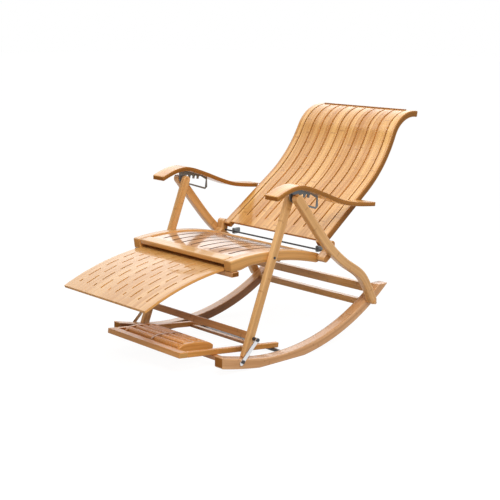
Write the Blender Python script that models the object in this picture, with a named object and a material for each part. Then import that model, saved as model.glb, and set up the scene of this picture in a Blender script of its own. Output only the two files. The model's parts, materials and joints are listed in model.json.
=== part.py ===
"""Reclining rocking chair of bamboo board, with a sliding leg rest and a foot roller tray.

Metres, +Z up, and the sitter faces -Y.  Pieces are drawn in a side view (y, z) whose
y is 0 at the rocker fronts and whose z is 0 on the floor.  The last lines move the
whole chair so that the bottom centre of its box is the origin.
"""
import math

import bmesh
import bpy
from mathutils import Vector

# Overall sizes
WIDTH = 0.620
DEPTH = 0.970
HEIGHT = 0.770
GAP = 0.0003

# Layers across the width, from the armrest edge inwards
ARM_OVERHANG = 0.0049
ARM_WIDTH = 0.0594
REAR_LEG_THICK = 0.024
ROCKER_THICK = 0.0393
PLATE_SPACE = 0.0163
FRONT_LEG_THICK = 0.018
RAIL_THICK = 0.0355
PLATE_THICK = 0.003
LINK_THICK = 0.003

# Rockers
ROCKER_RADIUS = 0.800
ROCKER_FRONT_RADIUS = 1.600
ROCKER_LOW_Y = 0.260
ROCKER_HEIGHT = 0.031
ROCKER_NOSE = 0.004
ROCKER_REAR_Y = 0.775
LAND_LENGTH = 0.200

# Legs and the points that they share, as (y, z)
LEG_TOP = (0.299, 0.526)
LEG_FOOT = (0.117, 0.050)
FRONT_LEG_WIDTH = 0.028
REAR_LEG_WIDTH = 0.030
REAR_LEG_PATH = ((0.428, 0.374), (0.512, 0.300), (0.613, 0.233))
REAR_FOOT_Y = 0.678
SEAT_BOLT_Z = 0.343
LINK_ROD_Z = 0.098
LINK_ROD_BACK = 0.0075
LINK_STUD_Y = 0.081
LINK_STUD_RISE = 0.008
LINK_MARGIN = 0.001
LINK_FLARE = 0.001
LINK_HOOK = math.radians(17)
PIN_RADIUS = 0.005
BOLT_RADIUS = 0.003
HEAD_RADIUS = 0.006
HEAD_THICK = 0.003

# Seat
SEAT_CROWN = (0.195, 0.361)
SEAT_RADIUS = 0.930
SEAT_FRONT_Y = 0.060
FRONT_RAIL_DEPTH = 0.045
FRONT_RAIL_THICK = 0.013
RAIL_HEIGHT = 0.033
DECK_THICK = 0.010
DECK_REAR_Y = 0.440
RAIL_END = (0.452, 0.310)
RAIL_END_RADIUS = 0.016
RAIL_NECK = 0.020
RAIL_TOE = 0.005
SEAT_ROD = (0.479, 0.329)
ROD_RADIUS = 0.003
BLOCK_WIDTH = 0.023
SLATS = 9
SLIT = 0.004
SLIT_MARGIN = 0.040

# Leg rest
REST_CENTRE = (0.150, -0.5914)
REST_RADIUS = 0.920
REST_THICK = 0.009
REST_FRONT_Y = -0.243
REST_SIDE_CLEAR = 0.001
LIP_DEPTH = 0.018
LIP_SLANT = 0.001
LIP_CLEAR = 0.0008
BAR_FRONT_Y = 0.066
BAR_DEPTH = 0.029
BAR_THICK = 0.016
REST_COLUMNS = 10

# Back
PIVOT = (0.482, 0.356)
BACK_TILT = math.radians(36.4)
BACK_STEEP = math.radians(65)
BACK_END = math.radians(-10)
STRAIGHT = 0.272
BEND_RADIUS = 0.457
CURL_RADIUS = 0.131
STILE_WIDTH = 0.030
STILE_THICK = 0.022
STILE_INSET = 0.0025
STILE_LEAN = 0.017
STILE_TAPER = STILE_LEAN / (HEIGHT - PIVOT[1])
STILE_BELOW_PIVOT = 0.011
PANEL_THICK = 0.006
PANEL_START = 0.010
BACK_SLIT_LOW = 0.050
BACK_SLIT_HIGH = 0.055
BATTEN_THICK = 0.007

# Armrests and their notch plates
ARM_REACH = 0.202
ARM_PATH = ((0.196, 0.546), (0.244, 0.564), (0.290, 0.572), (0.333, 0.566), (0.395, 0.545),
            (0.460, 0.520), (0.520, 0.5005))
ARM_REAR = ((-0.065, 0.0148), (0.013, 0.0072))
ARM_THICK = 0.0145
ARM_ROUND = 0.006
NOTCHES = 5
NOTCH_PITCH = 0.0195
NOTCH_DEPTH = 0.011
TOOTH_CLEAR = 0.0007
CHANNEL_CLEAR = 0.0018
SEAT_CLEAR = 0.0006
PLATE_BAR = 0.005
PLATE_FALL = 0.148
PLATE_FRONT_END = 0.009
PLATE_REAR_END = 0.009
REAR_OPENING = 0.025
PLATE_CORNER = 0.009

# Roller tray, drawn on its own slope: q runs rearwards, w stands on the slope
TRAY_FRONT = (-0.0939, 0.0596)
TRAY_SLOPE = math.radians(6.6)
TRAY_SIDE_CLEAR = 0.0555
TRAY_BAR = 0.020
TRAY_FRONT_DEPTH = 0.034
TRAY_HEIGHT = 0.0175
TRAY_RAIL_THICK = 0.016
TRAY_LENGTH = 0.429
TRAY_REAR_BAR_Q = 0.343
TRAY_REAR_BAR_HEIGHT = 0.010
ROLLERS = 5
ROLLER_FIRST_Q = 0.0525
ROLLER_PITCH = 0.0268
ROLLER_RADIUS = 0.0120
ROLLER_GROOVES = 6
GROOVE_DEPTH = 0.002
JOURNAL_RADIUS = 0.004
END_PLATE_CLEAR = 0.0287
END_PLATE_THICK = 0.0117
DIVIDER_HALF = 0.005
ARCH_TOP = 0.0335
ARCH_DROP = 0.0133
ARCH_TAIL = 0.0165
ARCH_MID_Q = ROLLER_FIRST_Q + ROLLER_PITCH * (ROLLERS - 1) / 2
ARCH_HALF = ROLLER_PITCH * (ROLLERS - 1) / 2 + ARCH_TAIL
ARCH_END_Q = ARCH_MID_Q + ARCH_HALF

# Cross rails
FRONT_RAIL_Y = 0.047
FRONT_RAIL_WIDTH = 0.018
FRONT_CROSS_HEIGHT = 0.016
STRETCHER_Z = 0.092
STRETCHER_HEIGHT = 0.0235
STRETCHER_DEPTH = 0.016
REAR_UPPER = (0.647, 0.187)
REAR_UPPER_SIZE = (0.020, 0.028)
REAR_LOWER = (0.664, 0.115)
REAR_LOWER_SIZE = (0.022, 0.022)
REST_BAR_Y = 0.300
REST_BAR_DEPTH = 0.016
REST_BAR_THICK = 0.006

# Layers worked out from the sizes above
ARM_OUT = WIDTH / 2
REAR_LEG_OUT = ARM_OUT - ARM_OVERHANG
REAR_LEG_IN = REAR_LEG_OUT - REAR_LEG_THICK
ROCKER_OUT = REAR_LEG_IN - GAP
ROCKER_IN = ROCKER_OUT - ROCKER_THICK
FRONT_LEG_OUT = REAR_LEG_IN - PLATE_SPACE
FRONT_LEG_IN = FRONT_LEG_OUT - FRONT_LEG_THICK
SEAT_HALF = FRONT_LEG_IN - GAP
RAIL_IN = SEAT_HALF - RAIL_THICK
DECK_HALF = RAIL_IN - GAP
STILE_OUT = SEAT_HALF - STILE_INSET
REST_HALF_WIDTH = RAIL_IN - REST_SIDE_CLEAR
TRAY_HALF_WIDTH = ROCKER_IN - TRAY_SIDE_CLEAR
LINK_IN = ROCKER_OUT + GAP
LINK_OUT = LINK_IN + LINK_THICK
PLATE_IN = (FRONT_LEG_OUT + REAR_LEG_IN - PLATE_THICK) / 2
ROCKER_SAG = ROCKER_RADIUS - math.sqrt(ROCKER_RADIUS ** 2 - (LAND_LENGTH / 2) ** 2)
TRAY_IN = TRAY_HALF_WIDTH - TRAY_RAIL_THICK
END_PLATE_OUT = TRAY_IN - END_PLATE_CLEAR
END_PLATE_IN = END_PLATE_OUT - END_PLATE_THICK

SIDES = {"left": 1, "right": -1}
FINISHES = {
    "bamboo": ((0.72, 0.42, 0.15, 1.0), 0.32, 0.0),
    "bamboo_under": ((0.42, 0.21, 0.07, 1.0), 0.38, 0.0),
    "steel": ((0.62, 0.64, 0.66, 1.0), 0.28, 1.0),
    "black_steel": ((0.05, 0.05, 0.06, 1.0), 0.35, 1.0),
}


# Side-view geometry

def along(start, angle, distance):
    """Point that lies a distance from start at an angle in the side view."""
    return (start[0] + distance * math.cos(angle), start[1] + distance * math.sin(angle))


def circle(centre, radius, first, last, steps):
    """Points on an arc from the first to the last angle, both included."""
    angles = [first + (last - first) * i / steps for i in range(steps + 1)]
    return [along(centre, angle, radius) for angle in angles]


def bore(centre, radius, sides=16):
    """Round hole, with its flats clear of a pin of the given radius."""
    return circle(centre, (radius + GAP) / math.cos(math.pi / sides), 0, math.tau * (1 - 1 / sides), sides - 1)


def spline(points, steps):
    """Smooth curve through the points, with a few steps between each pair."""
    ends = [Vector(p) for p in (points[0], *points, points[-1])]
    curve = []
    for a, b, c, d in zip(ends, ends[1:], ends[2:], ends[3:]):
        for i in range(steps):
            t = i / steps
            bend = (2 * a - 5 * b + 4 * c - d) * t ** 2 + (3 * b - a - 3 * c + d) * t ** 3
            curve.append(tuple(b + ((c - a) * t + bend) / 2))
    return curve + [tuple(points[-1])]


def offset(path, distance):
    """Path moved sideways, to the left of its direction."""
    moved = []
    last = len(path) - 1
    for i, (y, z) in enumerate(path):
        before = path[max(i - 1, 0)]
        after = path[min(i + 1, last)]
        length = math.hypot(after[0] - before[0], after[1] - before[1])
        moved.append((y - distance * (after[1] - before[1]) / length,
                      z + distance * (after[0] - before[0]) / length))
    return moved


def height_on(path, y):
    """Height of a path that runs rearwards, at y."""
    for (y0, z0), (y1, z1) in zip(path, path[1:]):
        if y <= y1:
            break
    return z0 + (z1 - z0) * (y - y0) / (y1 - y0)


def strap(path, width, cap=6):
    """Outline of a bar of even width along a path, with round ends."""
    half = width / 2
    first = math.atan2(path[1][1] - path[0][1], path[1][0] - path[0][0])
    last = math.atan2(path[-1][1] - path[-2][1], path[-1][0] - path[-2][0])
    front = circle(path[0], half, first + math.pi / 2, first + 1.5 * math.pi, cap)
    rear = circle(path[-1], half, last - math.pi / 2, last + math.pi / 2, cap)
    return front + offset(path, -half)[1:-1] + rear + offset(path, half)[-2:0:-1]


def seat_height(y, drop=0.0):
    """Height of the seat arc, or of a line below it, at y."""
    radius = SEAT_RADIUS - drop
    return SEAT_CROWN[1] - SEAT_RADIUS + math.sqrt(radius ** 2 - (y - SEAT_CROWN[0]) ** 2)


def rest_height(y, drop=0.0):
    """Height of the leg rest's upper face, or of a line below it, at y."""
    radius = REST_RADIUS - drop
    return REST_CENTRE[1] + math.sqrt(radius ** 2 - (y - REST_CENTRE[0]) ** 2)


def tray_point(q, w):
    """Side-view point at q along the tray and w above its lower face."""
    y = TRAY_FRONT[0] + q * math.cos(TRAY_SLOPE) + w * math.sin(TRAY_SLOPE)
    return (y, TRAY_FRONT[1] - q * math.sin(TRAY_SLOPE) + w * math.cos(TRAY_SLOPE))


def tray_box(q0, q1, w0, w1):
    """Rectangle on the tray's slope."""
    return [tray_point(q, w) for q, w in ((q0, w0), (q1, w0), (q1, w1), (q0, w1))]


def box(y0, y1, z0, z1):
    """Upright rectangle."""
    return [(y0, z0), (y1, z0), (y1, z1), (y0, z1)]


# Mesh helpers

def finish(name, bm, look, origin=(0.0, 0.0, 0.0), smooth=True):
    """Turn a bmesh into a named object whose origin is the given point."""
    bmesh.ops.recalc_face_normals(bm, faces=bm.faces[:])
    bmesh.ops.translate(bm, verts=bm.verts[:], vec=-Vector(origin))
    mesh = bpy.data.meshes.new(name)
    bm.to_mesh(mesh)
    bm.free()
    if smooth:
        mesh.shade_smooth()
        mesh.set_sharp_from_angle(angle=math.radians(35))
    piece = bpy.data.objects.new(name, mesh)
    piece.location = origin
    colour, roughness, metallic = FINISHES[look]
    material = bpy.data.materials.new(f"{name}_{look}")
    material.use_nodes = True
    shader = material.node_tree.nodes["Principled BSDF"]
    shader.inputs["Base Color"].default_value = colour
    shader.inputs["Roughness"].default_value = roughness
    shader.inputs["Metallic"].default_value = metallic
    mesh.materials.append(material)
    bpy.context.collection.objects.link(piece)
    return piece


def prism(outline, x0, x1, holes=()):
    """Outline with holes, drawn in the side view and extruded across the chair."""
    bm = bmesh.new()
    edges = []
    for loop in (outline, *holes):
        verts = [bm.verts.new((x0, y, z)) for y, z in loop]
        edges += [bm.edges.new(pair) for pair in zip(verts, verts[1:] + verts[:1])]
    bmesh.ops.triangle_fill(bm, use_beauty=True, edges=edges)
    grown = bmesh.ops.extrude_face_region(bm, geom=bm.faces[:])
    moved = [v for v in grown["geom"] if isinstance(v, bmesh.types.BMVert)]
    bmesh.ops.translate(bm, verts=moved, vec=(x1 - x0, 0, 0))
    return bm


def turned(profile, centre, sides=20):
    """Solid turned about an axis across the chair, from (x, radius) pairs."""
    bm = bmesh.new()
    rings = []
    for x, radius in profile:
        ring = circle(centre, radius, 0, math.tau * (1 - 1 / sides), sides - 1)
        rings.append([bm.verts.new((x, y, z)) for y, z in ring])
    for ring, following in zip(rings, rings[1:]):
        for i in range(sides):
            j = (i + 1) % sides
            bm.faces.new((ring[i], ring[j], following[j], following[i]))
    bm.faces.new(rings[0])
    bm.faces.new(rings[-1])
    return bm


def panel(rows, columns, is_open):
    """Board of cells between rows (lower, upper, half width) and columns (-1 to 1, shift).

    is_open(row, column) tells which cells are slits.  A solid cell has an upper and a
    lower face, and a wall where its neighbour is open or missing.
    """
    bm = bmesh.new()
    made = {}

    def vert(row, column, level):
        key = (row, column, level)
        if key not in made:
            y, z = rows[row][level]
            share, shift = columns[column]
            made[key] = bm.verts.new((share * rows[row][2] + shift, y, z))
        return made[key]

    def solid(row, column):
        inside = 0 <= row < len(rows) - 1 and 0 <= column < len(columns) - 1
        return inside and not is_open(row, column)

    for r in range(len(rows) - 1):
        for c in range(len(columns) - 1):
            if not solid(r, c):
                continue
            corners = ((r, c), (r, c + 1), (r + 1, c + 1), (r + 1, c))
            bm.faces.new([vert(*corner, 1) for corner in corners])
            bm.faces.new([vert(*corner, 0) for corner in reversed(corners)])
            beyond = ((r - 1, c), (r, c + 1), (r + 1, c), (r, c - 1))
            for i, neighbour in enumerate(beyond):
                if not solid(*neighbour):
                    a, b = corners[i], corners[(i + 1) % 4]
                    bm.faces.new((vert(*b, 1), vert(*a, 1), vert(*a, 0), vert(*b, 0)))
    return bm


def slat_columns(edge_slits):
    """Column edges of equal slats with slits between them, and beside them if asked."""
    pitch = 2 / SLATS
    columns = [(-1.0, 0.0)]
    if edge_slits:
        columns.append((-1.0, SLIT))
    for i in range(1, SLATS):
        columns += [(-1 + i * pitch, -SLIT / 2), (-1 + i * pitch, SLIT / 2)]
    if edge_slits:
        columns.append((1.0, -SLIT))
    return columns + [(1.0, 0.0)]


def both(x0, x1, side):
    """Pair of x limits on one side of the chair."""
    return (side * x0, side * x1)


# Base: rockers, legs and cross rails

def rocker_lines():
    """Lower and upper edges of a rocker: a flat land, a long front arc and a tighter rear arc."""
    centre = (ROCKER_LOW_Y, ROCKER_RADIUS - ROCKER_SAG)
    land = math.asin(LAND_LENGTH / 2 / ROCKER_RADIUS)
    down = -math.pi / 2
    rear = down + math.asin((ROCKER_REAR_Y - ROCKER_LOW_Y) / ROCKER_RADIUS)
    knee = along(centre, down - land, ROCKER_RADIUS)
    front_centre = along(knee, math.pi / 2 - land, ROCKER_FRONT_RADIUS)
    front = down - math.asin(front_centre[0] / ROCKER_FRONT_RADIUS)
    nose = circle(front_centre, ROCKER_FRONT_RADIUS, front, down - land, 5)
    lower = nose + circle(centre, ROCKER_RADIUS, down + land, rear, 13)
    upper = offset(nose[:-1] + circle(centre, ROCKER_RADIUS, down - land, rear, 19), ROCKER_HEIGHT)
    upper[0] = (0.0, upper[0][1])
    return lower, [(y, z + ROCKER_NOSE * max(0.0, 1 - y / knee[0])) for y, z in upper]


def rocker_middle(y):
    """Point half way up a rocker at y."""
    lower, upper = rocker_lines()
    return (y, (height_on(lower, y) + height_on(upper, y)) / 2)


REAR_FOOT = rocker_middle(REAR_FOOT_Y)
LINK_STUD = along(rocker_middle(LINK_STUD_Y), math.pi / 2, LINK_STUD_RISE)


def rocker_outline():
    """Rocker edges joined by a flat front end and a rear tip that is sawn level."""
    lower, upper = rocker_lines()
    level = lower[-1][1]
    kept = [point for point in upper if point[1] < level]
    (y0, z0), (y1, z1) = kept[-1], upper[len(kept)]
    sawn = (y0 + (y1 - y0) * (level - z0) / (z1 - z0), level)
    return lower + [sawn] + kept[::-1]


def leg_axis(z):
    """Point of the front leg's centre line at a height."""
    share = (z - LEG_FOOT[1]) / (LEG_TOP[1] - LEG_FOOT[1])
    return (LEG_FOOT[0] + share * (LEG_TOP[0] - LEG_FOOT[0]), z)


LEG_ANGLE = math.atan2(LEG_TOP[1] - LEG_FOOT[1], LEG_TOP[0] - LEG_FOOT[0])
LINK_ROD = along(leg_axis(LINK_ROD_Z), LEG_ANGLE - math.pi / 2, LINK_ROD_BACK)


def leg_outline():
    """Straight leg with a round head, its foot cut to the rocker's upper edge."""
    upper = rocker_lines()[1]
    half = FRONT_LEG_WIDTH / 2
    foot = []
    for sign in (1, -1):
        y, z = along(LEG_FOOT, LEG_ANGLE + sign * math.pi / 2, half)
        for _ in range(30):
            step = (height_on(upper, y) + GAP * 1.2 - z) / math.sin(LEG_ANGLE)
            y, z = along((y, z), LEG_ANGLE, step)
        foot.append((y, z))
    return foot + circle(LEG_TOP, half, LEG_ANGLE - math.pi / 2, LEG_ANGLE + math.pi / 2, 8)


def rear_leg_path():
    """Centre line of the bent rear leg, from the shared pin to its foot on the rocker."""
    return spline((LEG_TOP, *REAR_LEG_PATH, REAR_FOOT), 5)


def bolt(name, centre, x_tip, x_head, side, look="steel", radius=BOLT_RADIUS):
    """Bolt across the chair whose head lies outside x_head."""
    profile = [(side * x_tip, radius), (side * x_head, radius), (side * x_head, HEAD_RADIUS),
               (side * (x_head + HEAD_THICK), HEAD_RADIUS)]
    return finish(name, turned(profile, centre), look)


def make_base():
    """Rockers, front and rear legs, and the rails that cross between them."""
    seat_bolt = leg_axis(SEAT_BOLT_Z)
    for name, side in SIDES.items():
        holes = [bore(LINK_STUD, ROD_RADIUS), bore(REAR_FOOT, BOLT_RADIUS)]
        body = prism(rocker_outline(), *both(ROCKER_IN, ROCKER_OUT, side), holes)
        finish(f"rocker_{name}", body, "bamboo")
        holes = [bore(LEG_TOP, PIN_RADIUS), bore(seat_bolt, BOLT_RADIUS), bore(LINK_ROD, ROD_RADIUS)]
        body = prism(leg_outline(), *both(FRONT_LEG_IN, FRONT_LEG_OUT, side), holes)
        finish(f"front_leg_{name}", body, "bamboo")
        holes = [bore(LEG_TOP, PIN_RADIUS), bore(REAR_FOOT, BOLT_RADIUS)]
        outline = strap(rear_leg_path(), REAR_LEG_WIDTH)
        body = prism(outline, *both(REAR_LEG_IN, REAR_LEG_OUT, side), holes)
        finish(f"rear_leg_{name}", body, "bamboo")
        pin = turned([(side * (FRONT_LEG_IN + GAP), PIN_RADIUS), (side * (REAR_LEG_OUT - GAP), PIN_RADIUS)], LEG_TOP)
        finish(f"leg_top_pin_{name}", pin, "steel")
        bolt(f"rear_leg_bolt_{name}", REAR_FOOT, ROCKER_IN + GAP, REAR_LEG_OUT + GAP, side)
        bolt(f"seat_bolt_{name}", seat_bolt, RAIL_IN + GAP, FRONT_LEG_OUT + GAP, side, "black_steel")
        profile = [(side * (ROCKER_IN + GAP), ROD_RADIUS), (side * (LINK_OUT + GAP), ROD_RADIUS),
                   (side * (LINK_OUT + GAP), HEAD_RADIUS), (side * (LINK_OUT + GAP + HEAD_THICK), HEAD_RADIUS)]
        finish(f"link_stud_{name}", turned(profile, LINK_STUD), "steel")

    half = [(FRONT_LEG_OUT + GAP, ROD_RADIUS), (FRONT_LEG_OUT + GAP, HEAD_RADIUS), (ROCKER_OUT, HEAD_RADIUS),
            (ROCKER_OUT, ROD_RADIUS), (LINK_OUT + GAP, ROD_RADIUS), (LINK_OUT + GAP, HEAD_RADIUS),
            (LINK_OUT + GAP + HEAD_THICK, HEAD_RADIUS)]
    profile = [(-x, radius) for x, radius in reversed(half)] + half
    finish("link_rod", turned(profile, LINK_ROD), "steel")

    low = leg_axis(STRETCHER_Z)
    front = along(low, LEG_ANGLE + math.pi / 2, FRONT_LEG_WIDTH / 2)
    rear = along(front, LEG_ANGLE - math.pi / 2, STRETCHER_DEPTH)
    outline = [front, rear, along(rear, LEG_ANGLE, STRETCHER_HEIGHT), along(front, LEG_ANGLE, STRETCHER_HEIGHT)]
    finish("front_leg_stretcher", prism(outline, -SEAT_HALF, SEAT_HALF), "bamboo_under")

    slope = math.tan(TRAY_SLOPE)
    rail_rear = FRONT_RAIL_Y + FRONT_RAIL_WIDTH
    tops = [(y, TRAY_FRONT[1] - GAP - slope * (y - TRAY_FRONT[0])) for y in (rail_rear, FRONT_RAIL_Y)]
    low = tops[0][1] - FRONT_CROSS_HEIGHT
    inner = ROCKER_IN - GAP
    outline = [(FRONT_RAIL_Y, low), (rail_rear, low), *tops]
    finish("rocker_front_rail", prism(outline, -inner, inner), "bamboo_under")
    rest_rear = REST_BAR_Y + REST_BAR_DEPTH
    tops = [(y, TRAY_FRONT[1] - GAP - slope * (y - TRAY_FRONT[0])) for y in (rest_rear, REST_BAR_Y)]
    low = tops[0][1] - REST_BAR_THICK
    outline = [(REST_BAR_Y, low), (rest_rear, low), *tops]
    finish("tray_rest_bar", prism(outline, -inner, inner), "black_steel")
    (y, z), (deep, tall) = REAR_LOWER, REAR_LOWER_SIZE
    finish("rear_lower_rail", prism(box(y - deep / 2, y + deep / 2, z, z + tall), -inner, inner), "bamboo_under")
    (y, z), (deep, tall) = REAR_UPPER, REAR_UPPER_SIZE
    outline = box(y - deep / 2, y + deep / 2, z - tall / 2, z + tall / 2)
    finish("rear_upper_rail", prism(outline, -ROCKER_OUT, ROCKER_OUT), "bamboo_under")


def link_outline():
    """Flat hook that hangs on the rod and opens rearwards below, where it takes the stud."""
    half = HEAD_RADIUS + LINK_MARGIN
    down = math.atan2(LINK_STUD[1] - LINK_ROD[1], LINK_STUD[0] - LINK_ROD[0])
    mouth = down + math.pi / 2
    slot = ROD_RADIUS + GAP
    flare = slot + LINK_FLARE
    upper_lip = along(along(LINK_STUD, mouth, half), down, -flare)
    lower_lip = along(along(LINK_STUD, mouth, half), down, flare)
    end = along(LINK_STUD, down, half)
    outline = circle(LINK_ROD, half, mouth, mouth + math.pi, 8)
    outline += circle(end, half, mouth + math.pi, mouth + math.tau - LINK_HOOK, 8)
    outline += [lower_lip]
    outline += circle(LINK_STUD, slot, down, down - math.pi, 8)
    return outline + [upper_lip]


def make_links():
    """Hooks that tie the front legs to the rockers, each turning on the rod."""
    for name, side in SIDES.items():
        body = prism(link_outline(), *both(LINK_IN, LINK_OUT, side), [bore(LINK_ROD, ROD_RADIUS)])
        finish(f"lock_link_{name}", body, "steel", (side * LINK_IN, *LINK_ROD))


# Seat

def rest_bar_top(y):
    """Upper face of the bar that the leg rest slides on."""
    return rest_height(y, REST_THICK) - GAP


def seat_rail_outline():
    """Rail along the seat arc, seated on the slide bar, with a round rear end."""
    bar_rear = BAR_FRONT_Y + BAR_DEPTH
    steps = 16
    last = RAIL_END[0] - RAIL_END_RADIUS
    top = [SEAT_FRONT_Y + (last - SEAT_FRONT_Y) * i / steps for i in range(steps + 1)]
    lower = [(BAR_FRONT_Y - RAIL_TOE, rest_bar_top(BAR_FRONT_Y) + GAP)]
    lower += [(y, rest_bar_top(y) + GAP) for y in (BAR_FRONT_Y, bar_rear)]
    lower += [(y, seat_height(y, RAIL_HEIGHT)) for y in top if y > bar_rear + RAIL_NECK]
    end = circle(RAIL_END, RAIL_END_RADIUS, math.radians(-100), math.radians(80), 8)
    return lower + end + [(y, seat_height(y)) for y in reversed(top)]


def make_seat():
    """Seat frame with its slotted deck, the rear rod and the blocks that carry the back."""
    seat_bolt = leg_axis(SEAT_BOLT_Z)
    for name, side in SIDES.items():
        body = prism(seat_rail_outline(), *both(RAIL_IN, SEAT_HALF, side), [bore(seat_bolt, BOLT_RADIUS)])
        finish(f"seat_rail_{name}", body, "bamboo")
        outline = strap((RAIL_END, SEAT_ROD, PIVOT), BLOCK_WIDTH)
        holes = [bore(SEAT_ROD, ROD_RADIUS), bore(PIVOT, PIN_RADIUS)]
        body = prism(outline, *both(FRONT_LEG_IN, ROCKER_OUT, side), holes)
        finish(f"hinge_block_{name}", body, "bamboo")
        pin = turned([(side * (STILE_OUT - STILE_WIDTH + GAP), PIN_RADIUS), (side * (ROCKER_OUT - GAP), PIN_RADIUS)],
                     PIVOT)
        finish(f"back_pivot_pin_{name}", pin, "steel")
    rod = ROCKER_OUT - GAP
    finish("seat_rod", turned([(-rod, ROD_RADIUS), (rod, ROD_RADIUS)], SEAT_ROD), "black_steel")

    front_rear = SEAT_FRONT_Y + FRONT_RAIL_DEPTH
    ys = [SEAT_FRONT_Y + FRONT_RAIL_DEPTH * i / 3 for i in range(4)]
    outline = [(y, seat_height(y, FRONT_RAIL_THICK)) for y in ys]
    outline += [(y, seat_height(y)) for y in reversed(ys)]
    finish("seat_front_rail", prism(outline, -DECK_HALF, DECK_HALF), "bamboo")

    bar_rear = BAR_FRONT_Y + BAR_DEPTH
    tops = [(y, rest_bar_top(y)) for y in (bar_rear, BAR_FRONT_Y)]
    low = tops[1][1] - BAR_THICK
    outline = [(BAR_FRONT_Y, low), (bar_rear, low), *tops]
    finish("footrest_support_bar", prism(outline, -SEAT_HALF, SEAT_HALF), "bamboo_under")

    steps = 12
    start = front_rear + GAP
    margin = SLIT_MARGIN / 2
    inner = [start + margin + (DECK_REAR_Y - 2 * margin - start) * i / steps for i in range(steps + 1)]
    ys = [start, *inner, DECK_REAR_Y]
    rows = [((y, seat_height(y, DECK_THICK)), (y, seat_height(y)), DECK_HALF) for y in ys]

    def slit(row, column):
        return column % 2 == 1 and 0 < row < steps + 1

    finish("seat_deck", panel(rows, slat_columns(False), slit), "bamboo")


def make_leg_rest():
    """Bent slotted board on an arc, with a heel lip that stops it at the front rail."""
    stop = SEAT_FRONT_Y + FRONT_RAIL_DEPTH + GAP
    steps = 30
    ys = [REST_FRONT_Y + (stop - REST_FRONT_Y) * i / steps for i in range(steps + 1)]
    rows = [((y, rest_height(y, REST_THICK)), (y, rest_height(y)), REST_HALF_WIDTH) for y in ys]
    lip_top = seat_height(stop, DECK_THICK) - LIP_CLEAR
    for y in (stop + LIP_SLANT, stop + LIP_DEPTH):
        rows.append(((y, rest_height(y, REST_THICK)), (y, lip_top), REST_HALF_WIDTH))
    pitch = 2 / (REST_COLUMNS + 1)
    columns = [(-1.0, 0.0)]
    for i in range(REST_COLUMNS):
        place = -1 + (i + 1) * pitch
        columns += [(place, -SLIT / 2), (place, SLIT / 2)]
    columns.append((1.0, 0.0))

    def slit(row, column):
        if column % 2 == 0 or not 3 <= row < steps - 3:
            return False
        return (row + 3 * (column // 2 % 2)) % 6 < 4

    origin = (0.0, *REST_CENTRE)
    finish("footrest_board", panel(rows, columns, slit), "bamboo", origin)


# Back and armrests

BACK_FOOT = along(along(PIVOT, BACK_TILT, -STILE_BELOW_PIVOT), BACK_TILT + math.pi / 2, STILE_THICK / 2)


def drawn_profile():
    """Front line of the back as drawn: straight, bent up, then curled over."""
    steps = 8
    path = [BACK_FOOT]
    path += [along(BACK_FOOT, BACK_TILT, PANEL_START + (STRAIGHT - PANEL_START) * i / steps) for i in range(steps)]
    start = along(BACK_FOOT, BACK_TILT, STRAIGHT)
    centre = along(start, BACK_TILT + math.pi / 2, BEND_RADIUS)
    path += circle(centre, BEND_RADIUS, BACK_TILT - math.pi / 2, BACK_STEEP - math.pi / 2, 9)[:-1]
    start = along(centre, BACK_STEEP - math.pi / 2, BEND_RADIUS)
    centre = along(start, BACK_STEEP - math.pi / 2, CURL_RADIUS)
    path += circle(centre, CURL_RADIUS, BACK_STEEP + math.pi / 2, BACK_END + math.pi / 2, 12)
    return path


def fitted(point):
    """Point of the drawn back, stretched from its foot to the chair's set depth and height."""
    path = drawn_profile()
    y, z = BACK_FOOT
    deep = (DEPTH - y) / (path[-1][0] - y)
    tall = (HEIGHT - z) / (max(top for _, top in path) - z)
    return (y + deep * (point[0] - y), z + tall * (point[1] - z))


def back_profile():
    """Front line of the back at its set depth and height."""
    return [fitted(point) for point in drawn_profile()]


ARM_PIVOT = fitted(along(PIVOT, BACK_TILT, ARM_REACH))


def lengths(path):
    """Distance along a path to each of its points."""
    total = [0.0]
    for (y0, z0), (y1, z1) in zip(path, path[1:]):
        total.append(total[-1] + math.hypot(y1 - y0, z1 - z0))
    return total


def stile_outer(z):
    """Outer face of a stile: it leans inwards with height."""
    return STILE_OUT - STILE_TAPER * (z - PIVOT[1])


def lean(bm, side):
    """Shear a straight prism so that its sides follow the stile's lean."""
    for vert in bm.verts:
        vert.co.x += side * (stile_outer(vert.co.z) - STILE_OUT)


def make_back():
    """Two bent stiles, the slotted panel between them and a batten behind its top."""
    origin = (0.0, *PIVOT)
    front = back_profile()
    rear = offset(front, -STILE_THICK)
    for name, side in SIDES.items():
        holes = [bore(PIVOT, PIN_RADIUS), bore(ARM_PIVOT, BOLT_RADIUS)]
        body = prism(rear + front[::-1], *both(STILE_OUT - STILE_WIDTH, STILE_OUT, side), holes)
        lean(body, side)
        finish(f"back_stile_{name}", body, "bamboo", origin)

    under = offset(front, -PANEL_THICK)
    inner = STILE_WIDTH + GAP
    rows = [(b, f, stile_outer(max(b[1], f[1])) - inner) for b, f in zip(under[1:], front[1:])]
    reach = lengths(front)
    low = next(i for i, s in enumerate(reach) if s >= BACK_SLIT_LOW)
    high = next(i for i, s in enumerate(reach) if s >= reach[-1] - BACK_SLIT_HIGH)

    def slit(row, column):
        return column % 2 == 0 and low <= row + 1 < high

    finish("back_panel", panel(rows, slat_columns(True), slit), "bamboo", origin)

    batten_front = offset(front, -PANEL_THICK - GAP)
    batten_rear = offset(front, -PANEL_THICK - GAP - BATTEN_THICK)
    span = range(high, len(front))
    rows = [(batten_rear[i], batten_front[i], stile_outer(front[i][1]) - inner) for i in span]
    body = panel(rows, [(-1.0, 0.0), (1.0, 0.0)], lambda row, column: False)
    finish("back_top_batten", body, "bamboo_under", origin)


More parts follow.
